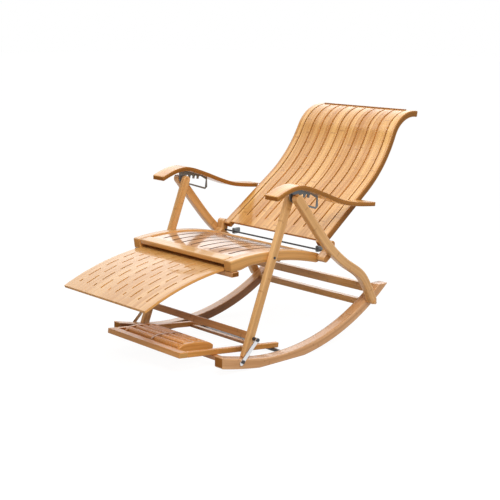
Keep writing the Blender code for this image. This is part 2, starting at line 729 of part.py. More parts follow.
def arm_lines():
    """Upper and lower lines of an armrest."""
    rear = [(ARM_PIVOT[0] + y, ARM_PIVOT[1] + z) for y, z in ARM_REAR]
    upper = spline((*ARM_PATH, *rear), 4)
    return upper, offset(upper, -ARM_THICK)


def plate_point(u, v):
    """Point of the notch plate: u runs from the leg pin to the arm pivot, v stands on it."""
    angle = math.atan2(ARM_PIVOT[1] - LEG_TOP[1], ARM_PIVOT[0] - LEG_TOP[0])
    return along(along(LEG_TOP, angle, u), angle + math.pi / 2, v)


def plate_shape():
    """Outline of the notch plate under the armrest, and its toothed window."""
    lower = arm_lines()[1]
    reach = (NOTCHES - 1) * NOTCH_PITCH
    channel = PIN_RADIUS + CHANNEL_CLEAR
    tooth = PIN_RADIUS + TOOTH_CLEAR
    seat = PIN_RADIUS + SEAT_CLEAR
    bottom = -channel - PLATE_BAR
    first = -seat - PLATE_FRONT_END
    rear = reach + seat + REAR_OPENING
    last = rear + PLATE_REAR_END
    low = bottom - PLATE_FALL * last
    outline = [plate_point(first, bottom + PLATE_CORNER), plate_point(first + PLATE_CORNER, bottom),
               plate_point(0.0, bottom), plate_point(last - PLATE_CORNER, low), plate_point(last, low + PLATE_CORNER)]
    ends = (plate_point(last, low)[0], plate_point(first, bottom)[0])
    steps = 8
    for i in range(steps + 1):
        y = ends[0] + (ends[1] - ends[0]) * i / steps
        outline.append((y, height_on(lower, y) - GAP))
    window = [(-seat, -channel), (0.0, -channel), (rear, -channel - PLATE_FALL * rear), (rear, tooth)]
    for k in range(NOTCHES - 1, 0, -1):
        u = k * NOTCH_PITCH
        if k < NOTCHES - 1:
            window.append((u + seat, tooth + NOTCH_DEPTH * 0.6))
        window.append((u + seat / 2, tooth + NOTCH_DEPTH))
        window += [(u - seat / 2, tooth + NOTCH_DEPTH), (u - seat, tooth + NOTCH_DEPTH * 0.6), (u - seat, tooth)]
        if k > 1:
            window.append((u - NOTCH_PITCH + seat, tooth))
    window.append((-seat, tooth))
    return outline, [plate_point(u, v) for u, v in window]


def arm_body(side):
    """Bent armrest board with its two front corners rounded in plan."""
    upper, lower = arm_lines()
    inner = ARM_OUT - ARM_WIDTH
    middle = ARM_OUT - ARM_WIDTH / 2
    bm = bmesh.new()
    sections = []
    front = upper[0][0]
    fine = [front + ARM_ROUND * (1 - math.cos(math.pi / 2 * i / 5)) for i in range(5)]
    stations = fine + [y for y, z in upper if y > front + ARM_ROUND]
    shift = lower[0][0] - upper[0][0]
    for y in stations:
        near = max(0.0, 1 - (y - front) / ARM_ROUND)
        cut = ARM_ROUND * 0.7 * (1 - math.sqrt(1 - near ** 2))
        low_y = y + shift * near if near else y
        corners = [(inner + cut, low_y, height_on(lower, low_y)), (ARM_OUT - cut, low_y, height_on(lower, low_y)),
                   (ARM_OUT - cut, y, height_on(upper, y)), (inner + cut, y, height_on(upper, y))]
        sections.append([bm.verts.new((side * x, yy, zz)) for x, yy, zz in corners])
    for a, b in zip(sections, sections[1:]):
        for i in range(4):
            j = (i + 1) % 4
            bm.faces.new((a[i], a[j], b[j], b[i]))
    bm.faces.new(sections[0])
    bm.faces.new(sections[-1])
    return bm, middle


def make_armrests():
    """Armrests that turn on the stiles, with the steel plates that hook over the leg pins."""
    stile = stile_outer(ARM_PIVOT[1])
    arm_in = ARM_OUT - ARM_WIDTH
    for name, side in SIDES.items():
        origin = (side * arm_in, *ARM_PIVOT)
        body, middle = arm_body(side)
        piece = finish(f"armrest_{name}", body, "bamboo", origin)
        drill = turned([(side * (arm_in - HEAD_RADIUS), BOLT_RADIUS + 2 * GAP), (side * middle, BOLT_RADIUS + 2 * GAP)],
                       ARM_PIVOT, 16)
        cutter = finish(f"armrest_drill_{name}", drill, "steel", origin)
        cutter.hide_render = True
        cutter.display_type = "WIRE"
        cut = piece.modifiers.new("pivot bore", "BOOLEAN")
        cut.object = cutter
        outline, window = plate_shape()
        body = prism(outline, *both(PLATE_IN, PLATE_IN + PLATE_THICK, side), [window])
        finish(f"notch_plate_{name}", body, "steel", origin)
        collar = stile + STILE_TAPER * HEAD_RADIUS + GAP
        profile = [(side * (stile - STILE_WIDTH / 2), BOLT_RADIUS), (side * collar, BOLT_RADIUS),
                   (side * collar, HEAD_RADIUS), (side * (arm_in - GAP), HEAD_RADIUS),
                   (side * (arm_in - GAP), BOLT_RADIUS), (side * (middle - GAP), BOLT_RADIUS)]
        finish(f"armrest_bolt_{name}", turned(profile, ARM_PIVOT), "steel", (0.0, *PIVOT))


# Roller tray

def arch(q):
    """Height of the roller end plates along the tray: flat in the middle and falling to both ends."""
    return ARCH_TOP - ARCH_DROP * ((q - ARCH_MID_Q) / ARCH_HALF) ** 4


def roller_axis(i):
    """Side-view point of a roller's axis."""
    q = ROLLER_FIRST_Q + i * ROLLER_PITCH
    return tray_point(q, arch(q) - ROLLER_RADIUS - GAP)


def plate_outline():
    """Arched plate that carries the rollers' journals."""
    first = TRAY_FRONT_DEPTH + GAP
    steps = 10
    qs = [ARCH_END_Q + (first - ARCH_END_Q) * i / steps for i in range(steps + 1)]
    return [tray_point(first, 0.0), tray_point(ARCH_END_Q, 0.0)] + [tray_point(q, arch(q)) for q in qs]


def roller_profile(side):
    """Turned roller with rounded ribs between two journals."""
    first = DIVIDER_HALF + GAP
    last = END_PLATE_IN - GAP
    rib = (last - first) / ROLLER_GROOVES
    ends = ROLLER_RADIUS - GROOVE_DEPTH
    profile = [(GAP, JOURNAL_RADIUS), (first, JOURNAL_RADIUS), (first, ends)]
    for i in range(ROLLER_GROOVES):
        x = first + i * rib
        profile += [(x + 0.2 * rib, ROLLER_RADIUS), (x + 0.8 * rib, ROLLER_RADIUS), (x + rib, ends)]
    profile += [(last, JOURNAL_RADIUS), (END_PLATE_OUT - GAP, JOURNAL_RADIUS)]
    return [(side * x, radius) for x, radius in profile]


def make_tray():
    """Sliding frame with two banks of turned rollers between end plates and a divider."""
    origin = (0.0, *TRAY_FRONT)
    holes = [bore(roller_axis(i), JOURNAL_RADIUS, 12) for i in range(ROLLERS)]
    bar = tray_box(0.0, TRAY_FRONT_DEPTH, 0.0, TRAY_HEIGHT)
    finish("tray_front_bar", prism(bar, -TRAY_HALF_WIDTH, TRAY_HALF_WIDTH), "bamboo", origin)
    bar = tray_box(TRAY_REAR_BAR_Q, TRAY_REAR_BAR_Q + TRAY_BAR, 0.0, TRAY_REAR_BAR_HEIGHT)
    inner = TRAY_IN - GAP
    finish("tray_rear_bar", prism(bar, -inner, inner), "bamboo_under", origin)
    finish("roller_divider", prism(plate_outline(), -DIVIDER_HALF, DIVIDER_HALF, holes), "bamboo_under", origin)
    for name, side in SIDES.items():
        rail = tray_box(TRAY_FRONT_DEPTH + GAP, TRAY_LENGTH, 0.0, TRAY_HEIGHT)
        body = prism(rail, *both(TRAY_IN, TRAY_HALF_WIDTH, side))
        finish(f"tray_rail_{name}", body, "bamboo", origin)
        body = prism(plate_outline(), *both(END_PLATE_IN, END_PLATE_OUT, side), holes)
        finish(f"roller_end_plate_{name}", body, "bamboo", origin)
        for i in range(ROLLERS):
            axis = roller_axis(i)
            body = turned(roller_profile(side), axis)
            finish(f"roller_{name}_{i + 1}", body, "bamboo_under", (0.0, *axis))


def centre_on_floor():
    """Move every piece so that the bottom centre of the whole box is the origin."""
    bpy.context.view_layer.update()
    pieces = [p for p in bpy.context.collection.objects if not p.hide_render]
    ys = [(p.matrix_world @ v.co).y for p in pieces for v in p.data.vertices]
    shift = (min(ys) + max(ys)) / 2
    for piece in bpy.context.collection.objects:
        piece.location.y -= shift


def main():
    """Build the chair in an empty scene."""
    for old in list(bpy.data.objects):
        bpy.data.objects.remove(old, do_unlink=True)
    make_base()
    make_links()
    make_seat()
    make_leg_rest()
    make_back()
    make_armrests()
    make_tray()
    centre_on_floor()


main()
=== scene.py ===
# %% [markdown]
# # Dressing a bamboo rocking chair
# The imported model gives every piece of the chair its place, its size and its joints.  Its bars are plain
# prisms, though, with edges as sharp as a knife.  A real chair like this is bent bamboo board: each bar has
# sanded edges, a grain that follows the bend, darker cut edges and a thick clear lacquer.  This lesson puts
# one shaped piece over each plain bar and leaves the frame itself as it is.

# %% Load the frame
import itertools
import json
import math

import bpy
import numpy as np
from mathutils import Matrix, Vector

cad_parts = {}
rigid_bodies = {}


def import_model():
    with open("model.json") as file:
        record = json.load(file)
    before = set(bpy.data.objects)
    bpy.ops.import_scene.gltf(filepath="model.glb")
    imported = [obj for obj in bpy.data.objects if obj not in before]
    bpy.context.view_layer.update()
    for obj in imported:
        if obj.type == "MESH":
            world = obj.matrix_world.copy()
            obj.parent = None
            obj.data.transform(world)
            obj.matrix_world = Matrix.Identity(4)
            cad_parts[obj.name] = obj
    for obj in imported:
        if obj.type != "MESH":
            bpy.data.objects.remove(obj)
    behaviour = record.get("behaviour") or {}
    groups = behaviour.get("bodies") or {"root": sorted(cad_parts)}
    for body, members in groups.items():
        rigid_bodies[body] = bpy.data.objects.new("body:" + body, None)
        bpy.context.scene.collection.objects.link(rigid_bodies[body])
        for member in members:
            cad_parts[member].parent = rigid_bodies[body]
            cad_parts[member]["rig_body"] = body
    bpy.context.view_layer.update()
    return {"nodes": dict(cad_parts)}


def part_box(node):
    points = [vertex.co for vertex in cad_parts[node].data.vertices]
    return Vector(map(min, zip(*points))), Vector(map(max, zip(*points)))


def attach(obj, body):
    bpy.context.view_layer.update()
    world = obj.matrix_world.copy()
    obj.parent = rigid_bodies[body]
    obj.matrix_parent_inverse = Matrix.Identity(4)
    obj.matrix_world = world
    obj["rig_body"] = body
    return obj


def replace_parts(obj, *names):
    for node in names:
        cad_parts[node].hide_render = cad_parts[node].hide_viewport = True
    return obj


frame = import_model()
SHIFT = -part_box("rocker_left")[0].y
print("nodes", len(frame["nodes"]), "drawing's y zero lies at", round(-SHIFT, 4))

# %% [markdown]
# ## The camera
# A photograph fixes a camera up to its distance: the way that near and far edges shrink gives the focal
# length.  The values below come from matching corners of the chair to where a picture shows them, and the
# picture was held a little crooked, so the camera has a small roll.

# %% Camera
CAMERA_PLACE = (2.6109, -2.4472, 1.0606)
CAMERA_AZIMUTH = math.radians(46.757)
CAMERA_TILT = math.radians(11.882)
CAMERA_ROLL = math.radians(0.726)
FOCAL_PIXELS = 1070.6
IMAGE_PIXELS = 500

lens = bpy.data.cameras.new("camera")
lens.lens = FOCAL_PIXELS * lens.sensor_width / IMAGE_PIXELS
camera = bpy.data.objects.new("camera", lens)
bpy.context.scene.collection.objects.link(camera)
level = np.array([np.cos(CAMERA_AZIMUTH), np.sin(CAMERA_AZIMUTH), 0.0])
ahead = np.array([-np.sin(CAMERA_AZIMUTH) * np.cos(CAMERA_TILT),
                  np.cos(CAMERA_AZIMUTH) * np.cos(CAMERA_TILT), -np.sin(CAMERA_TILT)])
above = np.cross(level, ahead)
right = level * np.cos(CAMERA_ROLL) + above * np.sin(CAMERA_ROLL)
upward = above * np.cos(CAMERA_ROLL) - level * np.sin(CAMERA_ROLL)
turn = np.eye(4)
turn[:3, :3] = np.stack([right, upward, -ahead], 1)
turn[:3, 3] = CAMERA_PLACE
camera.matrix_world = Matrix(turn.tolist())
bpy.context.scene.camera = camera
print("lens", round(lens.lens, 1), "mm")

# %% [markdown]
# ## A floor, soft light and a white world
# The chair stands in a plain studio, and the camera sees a white world.  Lacquer and steel mirror a sky that
# is dull near the horizon and bright overhead, so upward faces shine and upright ones keep their colour.
# The wood itself gets an even, softer light from the world.  One wide lamp hangs overhead, and a second one
# stands on the chair's near side.  The floor is white paper that keeps the chair's shadow.

# %% Node helper
def add(tree, kind, values=None, **settings):
    """Put one node into a tree.  A value that is a socket is linked, and any other value is set."""
    made = tree.nodes.new(kind)
    for key, value in settings.items():
        setattr(made, key, value)
    for key, value in (values or {}).items():
        if isinstance(value, bpy.types.NodeSocket):
            tree.links.new(value, made.inputs[key])
        else:
            made.inputs[key].default_value = value
    return made


def maths(tree, operation, first, second=0.0, clamp=False):
    """Result of a Math node."""
    return add(tree, "ShaderNodeMath", {0: first, 1: second}, operation=operation, use_clamp=clamp).outputs[0]


def blend(tree, share, first, second):
    """Colour that goes from the first to the second as the share rises.  Either is a socket or (r, g, b)."""
    pair = [c if isinstance(c, bpy.types.NodeSocket) else (*c, 1) for c in (first, second)]
    return add(tree, "ShaderNodeMix", {"Factor": share, 6: pair[0], 7: pair[1]}, data_type="RGBA").outputs[2]


print("node helpers", add.__name__, maths.__name__, blend.__name__)

# %% World and lamps
WORLD_LIGHT = 0.48
SKY_HEIGHTS, SKY_STRENGTHS, SKY_LEAN = (0.20, 0.60), (0.40, 2.6), 0.35
TOP_LAMP, SIDE_LAMP = 17.0, 51.0

bpy.context.scene.view_settings.view_transform = "Standard"
world = bpy.data.worlds.new("studio")
bpy.context.scene.world = world
world.use_nodes = True
air = world.node_tree
air.nodes.clear()
rays = add(air, "ShaderNodeLightPath").outputs
ray = add(air, "ShaderNodeSeparateXYZ", {0: add(air, "ShaderNodeTexCoord").outputs["Generated"]}).outputs
ray_height = maths(air, "ADD", ray[2], maths(air, "MULTIPLY", ray[1], SKY_LEAN))
sky = add(air, "ShaderNodeMapRange", {
    "Value": ray_height, "From Min": SKY_HEIGHTS[0], "From Max": SKY_HEIGHTS[1],
    "To Min": SKY_STRENGTHS[0], "To Max": SKY_STRENGTHS[1]}, interpolation_type="SMOOTHSTEP").outputs[0]
mirrored = maths(air, "MULTIPLY", rays["Is Glossy Ray"], maths(air, "SUBTRACT", sky, WORLD_LIGHT))
looked_at = maths(air, "MAXIMUM", rays["Is Camera Ray"], rays["Is Transmission Ray"])
bright = maths(air, "ADD", WORLD_LIGHT, maths(air, "MULTIPLY", looked_at, 1.0 - WORLD_LIGHT))
bright = maths(air, "ADD", bright, mirrored)
lit = add(air, "ShaderNodeBackground", {"Color": (1, 1, 1, 1), "Strength": bright})
add(air, "ShaderNodeOutputWorld", {"Surface": lit.outputs[0]})


def lamp(name, place, target, size, power):
    """Square area lamp at a place, turned to face a target."""
    data = bpy.data.lights.new(name, "AREA")
    data.size = size
    data.energy = power
    made = bpy.data.objects.new(name, data)
    bpy.context.scene.collection.objects.link(made)
    made.location = place
    made.rotation_mode = "QUATERNION"
    aim = Vector(target) - Vector(place)
    made.rotation_quaternion = aim.to_track_quat("-Z", "Y")
    return made


lamp("top_lamp", (-0.4, -0.5, 2.6), (0, 0, 0.3), 2.0, TOP_LAMP)
lamp("side_lamp", (2.1, -1.1, 2.5), (0, 0, 0.35), 1.5, SIDE_LAMP)
print("lamps", TOP_LAMP, SIDE_LAMP)

# %% Floor
FLOOR_HALF = 30.0
FLOOR_BOUNCE, FLOOR_PAPER = (0.60, 0.585, 0.57), (0.90, 0.90, 0.90)
FLOOR_SHARE, FLOOR_GLOW = 0.86, 1.10

floor_mesh = bpy.data.meshes.new("floor")
corners = FLOOR_HALF * np.array([[-1, -1, 0], [1, -1, 0], [1, 1, 0], [-1, 1, 0]])
floor_mesh.from_pydata(corners.tolist(), [], [(0, 1, 2, 3)])
floor = bpy.data.objects.new("floor", floor_mesh)
bpy.context.scene.collection.objects.link(floor)
paper = bpy.data.materials.new("studio_paper")
paper.use_nodes = True
sheet = paper.node_tree
sheet.nodes.clear()
rays = add(sheet, "ShaderNodeLightPath").outputs
tone = blend(sheet, rays["Is Camera Ray"], FLOOR_BOUNCE, FLOOR_PAPER)
matt = add(sheet, "ShaderNodeBsdfDiffuse", {"Color": tone})
glow = add(sheet, "ShaderNodeEmission", {"Color": (1, 1, 1, 1), "Strength": FLOOR_GLOW})
glowing = maths(sheet, "MULTIPLY", FLOOR_SHARE, maths(
    sheet, "MAXIMUM", rays["Is Camera Ray"], rays["Is Glossy Ray"]))
both = add(sheet, "ShaderNodeMixShader", {0: glowing, 1: matt.outputs[0], 2: glow.outputs[0]})
add(sheet, "ShaderNodeOutputMaterial", {"Surface": both.outputs[0]})
floor_mesh.materials.append(paper)
print("floor", 2 * FLOOR_HALF, "m wide")

# %% [markdown]
# ## Bamboo
# Bamboo board is glued from strips about two centimetres wide.  Each strip has its own shade, fine fibres
# run along it, and every so often a darker line with a paler halo crosses it where the cane had a joint.
# On the edges of a board the layers of the lamination show as thin lines, and the ends are darker because
# they drink the lacquer.  All of that follows the bent bar, so it reads the piece's own map, in metres:
# the first number runs along the bar and the second across it.  Two attributes of the mesh, edge and end,
# say where the cut tones show and the lacquer is thin.  Stock of several shades is used: honey for the legs,
# a golden one for back and arms, a paler one for the seat, and darker ones low down and behind, whose
# darkness is partly painted shade.  Lighter cut tones put painted light on slit walls that lie in shade,
# and a dark cut tone on the rockers' inner faces is painted shade.

# %% Strip pattern as a node group
FIBRE_GRAIN, STREAK_GRAIN = (9.0, 620.0, 40.0), (3.2, 75.0, 40.0)
STRIP_SHARE, FIBRE_SHARE, STREAK_SHARE, SHADE_LESS = 0.60, 0.60, 2.20, 1.20
KNUCKLE_WIDTHS, KNUCKLE_WOBBLE, SEAM_WIDTH = (0.0010, 0.0042), 0.012, 0.0006


def strip_group():
    """Shade, joint line and height of glued bamboo strips, from a place along and across the board."""
    group = bpy.data.node_groups.new("bamboo strips", "ShaderNodeTree")
    for name, default in (("Along", 0.0), ("Across", 0.0), ("Strip", 0.02), ("Spacing", 0.24)):
        socket = group.interface.new_socket(name, in_out="INPUT", socket_type="NodeSocketFloat")
        socket.default_value = default
    for name in ("Shade", "Knuckle", "Seam", "Height"):
        group.interface.new_socket(name, in_out="OUTPUT", socket_type="NodeSocketFloat")
    given = add(group, "NodeGroupInput").outputs
    scaled = maths(group, "DIVIDE", given["Across"], given["Strip"])
    index = maths(group, "FLOOR", scaled)
    chance = add(group, "ShaderNodeTexWhiteNoise", {"W": index}, noise_dimensions="1D")
    parts = add(group, "ShaderNodeSeparateColor", {0: chance.outputs["Color"]}).outputs

    def noise(grain, layer, detail):
        place = [maths(group, "MULTIPLY", value, scale)
                 for value, scale in zip((given["Along"], given["Across"], layer), grain)]
        vector = add(group, "ShaderNodeCombineXYZ", dict(enumerate(place))).outputs[0]
        return add(group, "ShaderNodeTexNoise", {"Vector": vector, "Scale": 1.0, "Detail": detail}).outputs[0]

    fibre, streak = noise(FIBRE_GRAIN, parts[0], 3.0), noise(STREAK_GRAIN, parts[1], 2.0)
    place = maths(group, "ADD", maths(group, "DIVIDE", given["Along"], given["Spacing"]), parts[2])
    place = maths(group, "ADD", place, maths(group, "MULTIPLY", streak, KNUCKLE_WOBBLE))
    off = maths(group, "ABSOLUTE", maths(group, "SUBTRACT", maths(group, "FRACT", place), 0.5))
    metres = maths(group, "MULTIPLY", off, given["Spacing"])
    knuckle = add(group, "ShaderNodeMapRange", {
        "Value": metres, "From Min": KNUCKLE_WIDTHS[0], "From Max": KNUCKLE_WIDTHS[1],
        "To Min": 1.0, "To Max": 0.0}, interpolation_type="SMOOTHSTEP")
    edge = maths(group, "ABSOLUTE", maths(group, "SUBTRACT", maths(group, "FRACT", scaled), 0.5))
    to_seam = maths(group, "MULTIPLY", maths(group, "SUBTRACT", 0.5, edge), given["Strip"])
    seam = add(group, "ShaderNodeMapRange", {"Value": to_seam, "From Min": 0.0, "From Max": SEAM_WIDTH,
                                             "To Min": 1.0, "To Max": 0.0})
    shade = maths(group, "ADD", maths(group, "MULTIPLY", parts[0], STRIP_SHARE),
                  maths(group, "MULTIPLY", fibre, FIBRE_SHARE))
    shade = maths(group, "ADD", shade, maths(group, "MULTIPLY", streak, STREAK_SHARE))
    shade = maths(group, "SUBTRACT", shade, SHADE_LESS, clamp=True)
    height = maths(group, "SUBTRACT", maths(group, "MULTIPLY", fibre, 0.35), seam.outputs[0])
    height = maths(group, "ADD", height, maths(group, "MULTIPLY", knuckle.outputs[0], 0.8))
    add(group, "NodeGroupOutput", {"Shade": shade, "Knuckle": knuckle.outputs[0], "Seam": seam.outputs[0],
                                   "Height": height})
    return group


STRIPS = strip_group()
print("node group", STRIPS.name, "with", len(STRIPS.nodes), "nodes")


# %% Bamboo finishes
KNUCKLE_TONE, SEAM_TONE, LAYER_TONES = 0.42, 0.22, (0.72, 1.25)


def bamboo(name, pale, deep, cut, end_tone, strip=0.020, gloss=0.30, coat=0.4):
    """Lacquered bamboo: strip shades between deep and pale, a cut tone on edges and an end tone on ends."""
    material = bpy.data.materials.new(name)
    material.use_nodes = True
    tree = material.node_tree
    shader = tree.nodes["Principled BSDF"]
    place = add(tree, "ShaderNodeSeparateXYZ", {0: add(tree, "ShaderNodeUVMap", uv_map="grain").outputs[0]})
    on_edge = add(tree, "ShaderNodeAttribute", attribute_name="edge").outputs["Fac"]
    on_end = add(tree, "ShaderNodeAttribute", attribute_name="end").outputs["Fac"]
    face = add(tree, "ShaderNodeGroup", node_tree=STRIPS)
    side = add(tree, "ShaderNodeGroup", node_tree=STRIPS)
    for group, width, spacing in ((face, strip, 0.23), (side, 0.0032, 0.9)):
        tree.links.new(place.outputs[0], group.inputs["Along"])
        tree.links.new(place.outputs[1], group.inputs["Across"])
        group.inputs["Strip"].default_value = width
        group.inputs["Spacing"].default_value = spacing
    base = blend(tree, face.outputs["Shade"], deep, pale)
    line = maths(tree, "MULTIPLY", face.outputs["Knuckle"], KNUCKLE_TONE)
    line = maths(tree, "MAXIMUM", line, maths(tree, "MULTIPLY", face.outputs["Seam"], SEAM_TONE))
    marked = blend(tree, line, base, end_tone)
    layers = blend(tree, side.outputs["Shade"], *([tone * c for c in cut] for tone in LAYER_TONES))
    sides = blend(tree, on_edge, marked, layers)
    tree.links.new(blend(tree, on_end, sides, end_tone), shader.inputs["Base Color"])
    rough = maths(tree, "ADD", maths(tree, "MULTIPLY", face.outputs["Shade"], -0.10), gloss + 0.08)
    tree.links.new(rough, shader.inputs["Roughness"])
    bump = add(tree, "ShaderNodeBump", {"Strength": 0.18, "Distance": 0.0004,
                                        "Height": face.outputs["Height"]})
    tree.links.new(bump.outputs[0], shader.inputs["Normal"])
    bare = maths(tree, "MAXIMUM", on_end, maths(tree, "MULTIPLY", on_edge, 0.8))
    lacquered = maths(tree, "SUBTRACT", 1.0, bare, clamp=True)
    tree.links.new(maths(tree, "MULTIPLY", lacquered, 0.3), shader.inputs["Specular IOR Level"])
    tree.links.new(maths(tree, "MULTIPLY", lacquered, coat), shader.inputs["Coat Weight"])
    shader.inputs["Coat Roughness"].default_value = 0.05
    return material


HONEY = bamboo("bamboo_honey", (0.84, 0.49, 0.200), (0.61, 0.31, 0.095), (0.50, 0.235, 0.075),
               (0.36, 0.145, 0.035))
SLAT = bamboo("bamboo_slat", (0.82, 0.455, 0.140), (0.50, 0.205, 0.034), (0.36, 0.145, 0.030),
              (0.30, 0.110, 0.024))
# Slat stock with a lighter cut tone, which puts painted light on the back's slit walls that lie in shade.
PANEL = bamboo("bamboo_panel", (0.82, 0.455, 0.140), (0.50, 0.205, 0.034), (0.62, 0.28, 0.070),
               (0.30, 0.110, 0.024))
# Rocker stock: its dark cut tone shows only on the inner faces, as painted shade.
ROCKER = bamboo("bamboo_rocker", (0.75, 0.41, 0.185), (0.54, 0.26, 0.090), (0.25, 0.105, 0.045),
                (0.36, 0.145, 0.035))
SEAT = bamboo("bamboo_seat", (0.64, 0.36, 0.180), (0.46, 0.215, 0.080), (0.10, 0.035, 0.008),
              (0.30, 0.110, 0.024), gloss=0.16, coat=0.55)
# Darker bamboo for parts low down and behind: partly a darker stock, partly painted shade for the shadow
# there.
DARKER_STOCK_AND_PAINTED_SHADE = bamboo("bamboo_darker_and_painted_shade", (0.76, 0.38, 0.140), (0.52, 0.235, 0.075), (0.30, 0.120, 0.030),
               (0.22, 0.080, 0.018))
ROLLER = bamboo("bamboo_roller", (0.95, 0.46, 0.130), (0.70, 0.30, 0.070), (0.46, 0.19, 0.045),
                (0.60, 0.32, 0.11), strip=0.008, coat=0.25)
# Dark bamboo for the heel lip and the crest bead: its darkness is painted shade.
DARK_PAINTED_SHADE = bamboo("bamboo_dark_painted_shade", (0.50, 0.21, 0.055), (0.36, 0.145, 0.035), (0.34, 0.130, 0.030),
              (0.20, 0.072, 0.016))
# Leg rest stock: its light cut tone puts painted light on slit walls that lie in shade.
REST = bamboo("bamboo_rest", (0.66, 0.36, 0.115), (0.50, 0.235, 0.058), (0.64, 0.31, 0.090),
              (0.62, 0.290, 0.085))
SLOT_OF = {look.name: "bamboo" for look in (HONEY, SLAT, PANEL, ROCKER, SEAT, REST)}
SLOT_OF |= {look.name: "bamboo_under" for look in (DARKER_STOCK_AND_PAINTED_SHADE, ROLLER, DARK_PAINTED_SHADE)}
print("bamboo finishes", len(SLOT_OF))


# %% [markdown]
# ## Steel
# The lock links are zinc plated sheet: bright, with a slightly cloudy polish and fine brush lines.  The notch
# plates are a duller steel, and their dark grey is painted shade, the shadow they sit in; the rods and studs
# are lacquered black.

# %% Steel finishes
def steel(name, colour, metallic, low, high):
    """Metal whose roughness drifts between two values in fine streaks and clouds."""
    material = bpy.data.materials.new(name)
    material.use_nodes = True
    tree = material.node_tree
    shader = tree.nodes["Principled BSDF"]
    where = add(tree, "ShaderNodeTexCoord").outputs["Object"]
    turned_to = add(tree, "ShaderNodeMapping", {"Vector": where, "Scale": (60.0, 25.0, 900.0)})
    brush = add(tree, "ShaderNodeTexNoise", {"Vector": turned_to.outputs[0], "Scale": 1.0, "Detail": 2.0})
    cloud = add(tree, "ShaderNodeTexNoise", {"Vector": where, "Scale": 70.0, "Detail": 3.0})
    both = maths(tree, "MULTIPLY", maths(tree, "ADD", brush.outputs[0], cloud.outputs[0]), 0.5)
    rough = add(tree, "ShaderNodeMapRange", {"Value": both, "From Min": 0.3, "From Max": 0.7,
                                             "To Min": low, "To Max": high})
    tree.links.new(rough.outputs[0], shader.inputs["Roughness"])
    tint = blend(tree, cloud.outputs[0], [0.82 * c for c in colour], colour)
    tree.links.new(tint, shader.inputs["Base Color"])
    shader.inputs["Metallic"].default_value = metallic
    return material


ZINC = steel("zinc_steel", (0.80, 0.81, 0.83), 1.0, 0.18, 0.36)
# Dark grey steel for the notch plates and rod brackets: the darkness is painted shade.
PLATE_PAINTED_SHADE = steel("plate_steel_painted_shade", (0.19, 0.21, 0.22), 0.6, 0.25, 0.45)
BLACK = steel("black_lacquered_steel", (0.035, 0.035, 0.040), 0.0, 0.25, 0.45)
SLOT_OF |= {ZINC.name: "steel", PLATE_PAINTED_SHADE.name: "steel", BLACK.name: "black_steel"}
print("steel finishes", ZINC.name, PLATE_PAINTED_SHADE.name, BLACK.name)

# %% [markdown]
# ## From side view to mesh
# Nearly every bar of the chair is drawn in the side view and has the same width all along.  So a bar is a
# rounded oblong that is carried along a side-view line.  The oblong's corners are quarter circles, and one
# extra point beside each corner holds the flats flat in the shading.  At a sawn end the oblong shrinks over
# a quarter circle, which sands the edge; at a round end it narrows like a half disc.


# %% Side-view lines
def arc(centre, radius, first, last, count):
    """Circle points: the centre plus the radius times (cos, sin) of evenly spread angles."""
    angle = np.linspace(first, last, count)
    return np.stack([centre[0] + radius * np.cos(angle), centre[1] + radius * np.sin(angle)], 1)


def bent_line(points, count=12):
    """Cubic through each pair of points, with end slopes that are half the step between their neighbours."""
    p = np.array(points, float)
    p = np.vstack([p[:1], p, p[-1:]])
    a, b, c, d = (q[:, None] for q in (p[:-3], p[1:-2], p[2:-1], p[3:]))
    t = np.linspace(0, 1, count, endpoint=False)[None, :, None]
    curve = b + ((c - a) * t + (2 * a - 5 * b + 4 * c - d) * t ** 2 + (3 * b - a - 3 * c + d) * t ** 3) / 2
    return np.vstack([curve.reshape(-1, 2), p[-1:]])


def along(start, angle, distance):
    """Side-view point at a distance and an angle from another."""
    return np.array([start[0] + distance * math.cos(angle), start[1] + distance * math.sin(angle)])


def travelled(path):
    """Distance along a line to each of its points."""
    return np.concatenate([[0.0], np.cumsum(np.hypot(*np.diff(path, axis=0).T))])


def headings(path):
    """Unit direction at each point of a line."""
    step = np.gradient(path, travelled(path), axis=0)
    return step / np.hypot(*step.T)[:, None]


def lefts(path):
    """Unit normal at each point, to the left of the line's direction."""
    return headings(path)[:, ::-1] * [-1, 1]


print("half a turn of radius 1 is", round(travelled(arc((0, 0), 1, 0, math.pi, 200))[-1], 3), "long")

# %% Rounded section and its places along a bar
CORNER = np.radians([0, 30, 60, 90])
QUARTERS = np.radians([0, 90, 180, 270])
SIGNS = np.array([[1, -1, -1, 1], [1, 1, -1, -1]])


def section(half_x, half_h, radius):
    """Rounded oblong round its middle: corner centre plus a quarter circle, and a holding point each side."""
    size = np.stack([half_x, half_h])[:, :, None, None]
    radius = np.minimum(radius, 0.96 * size.min(0)[:, 0, 0])[:, None, None]
    hold = np.minimum(0.3 * (size.min(0) - radius), 0.004) + 1e-5
    angle = QUARTERS[:, None] + CORNER
    angle = np.concatenate([angle[:, :1], angle, angle[:, -1:]], 1)
    lead = hold * np.array([-1, 0, 0, 0, 0, 1])
    x = SIGNS[0][:, None] * (size[0] - radius) + radius * np.cos(angle) - lead * np.sin(angle)
    h = SIGNS[1][:, None] * (size[1] - radius) + radius * np.sin(angle) + lead * np.cos(angle)
    count = len(half_x)
    return x.reshape(count, -1), h.reshape(count, -1), np.cos(angle).ravel()


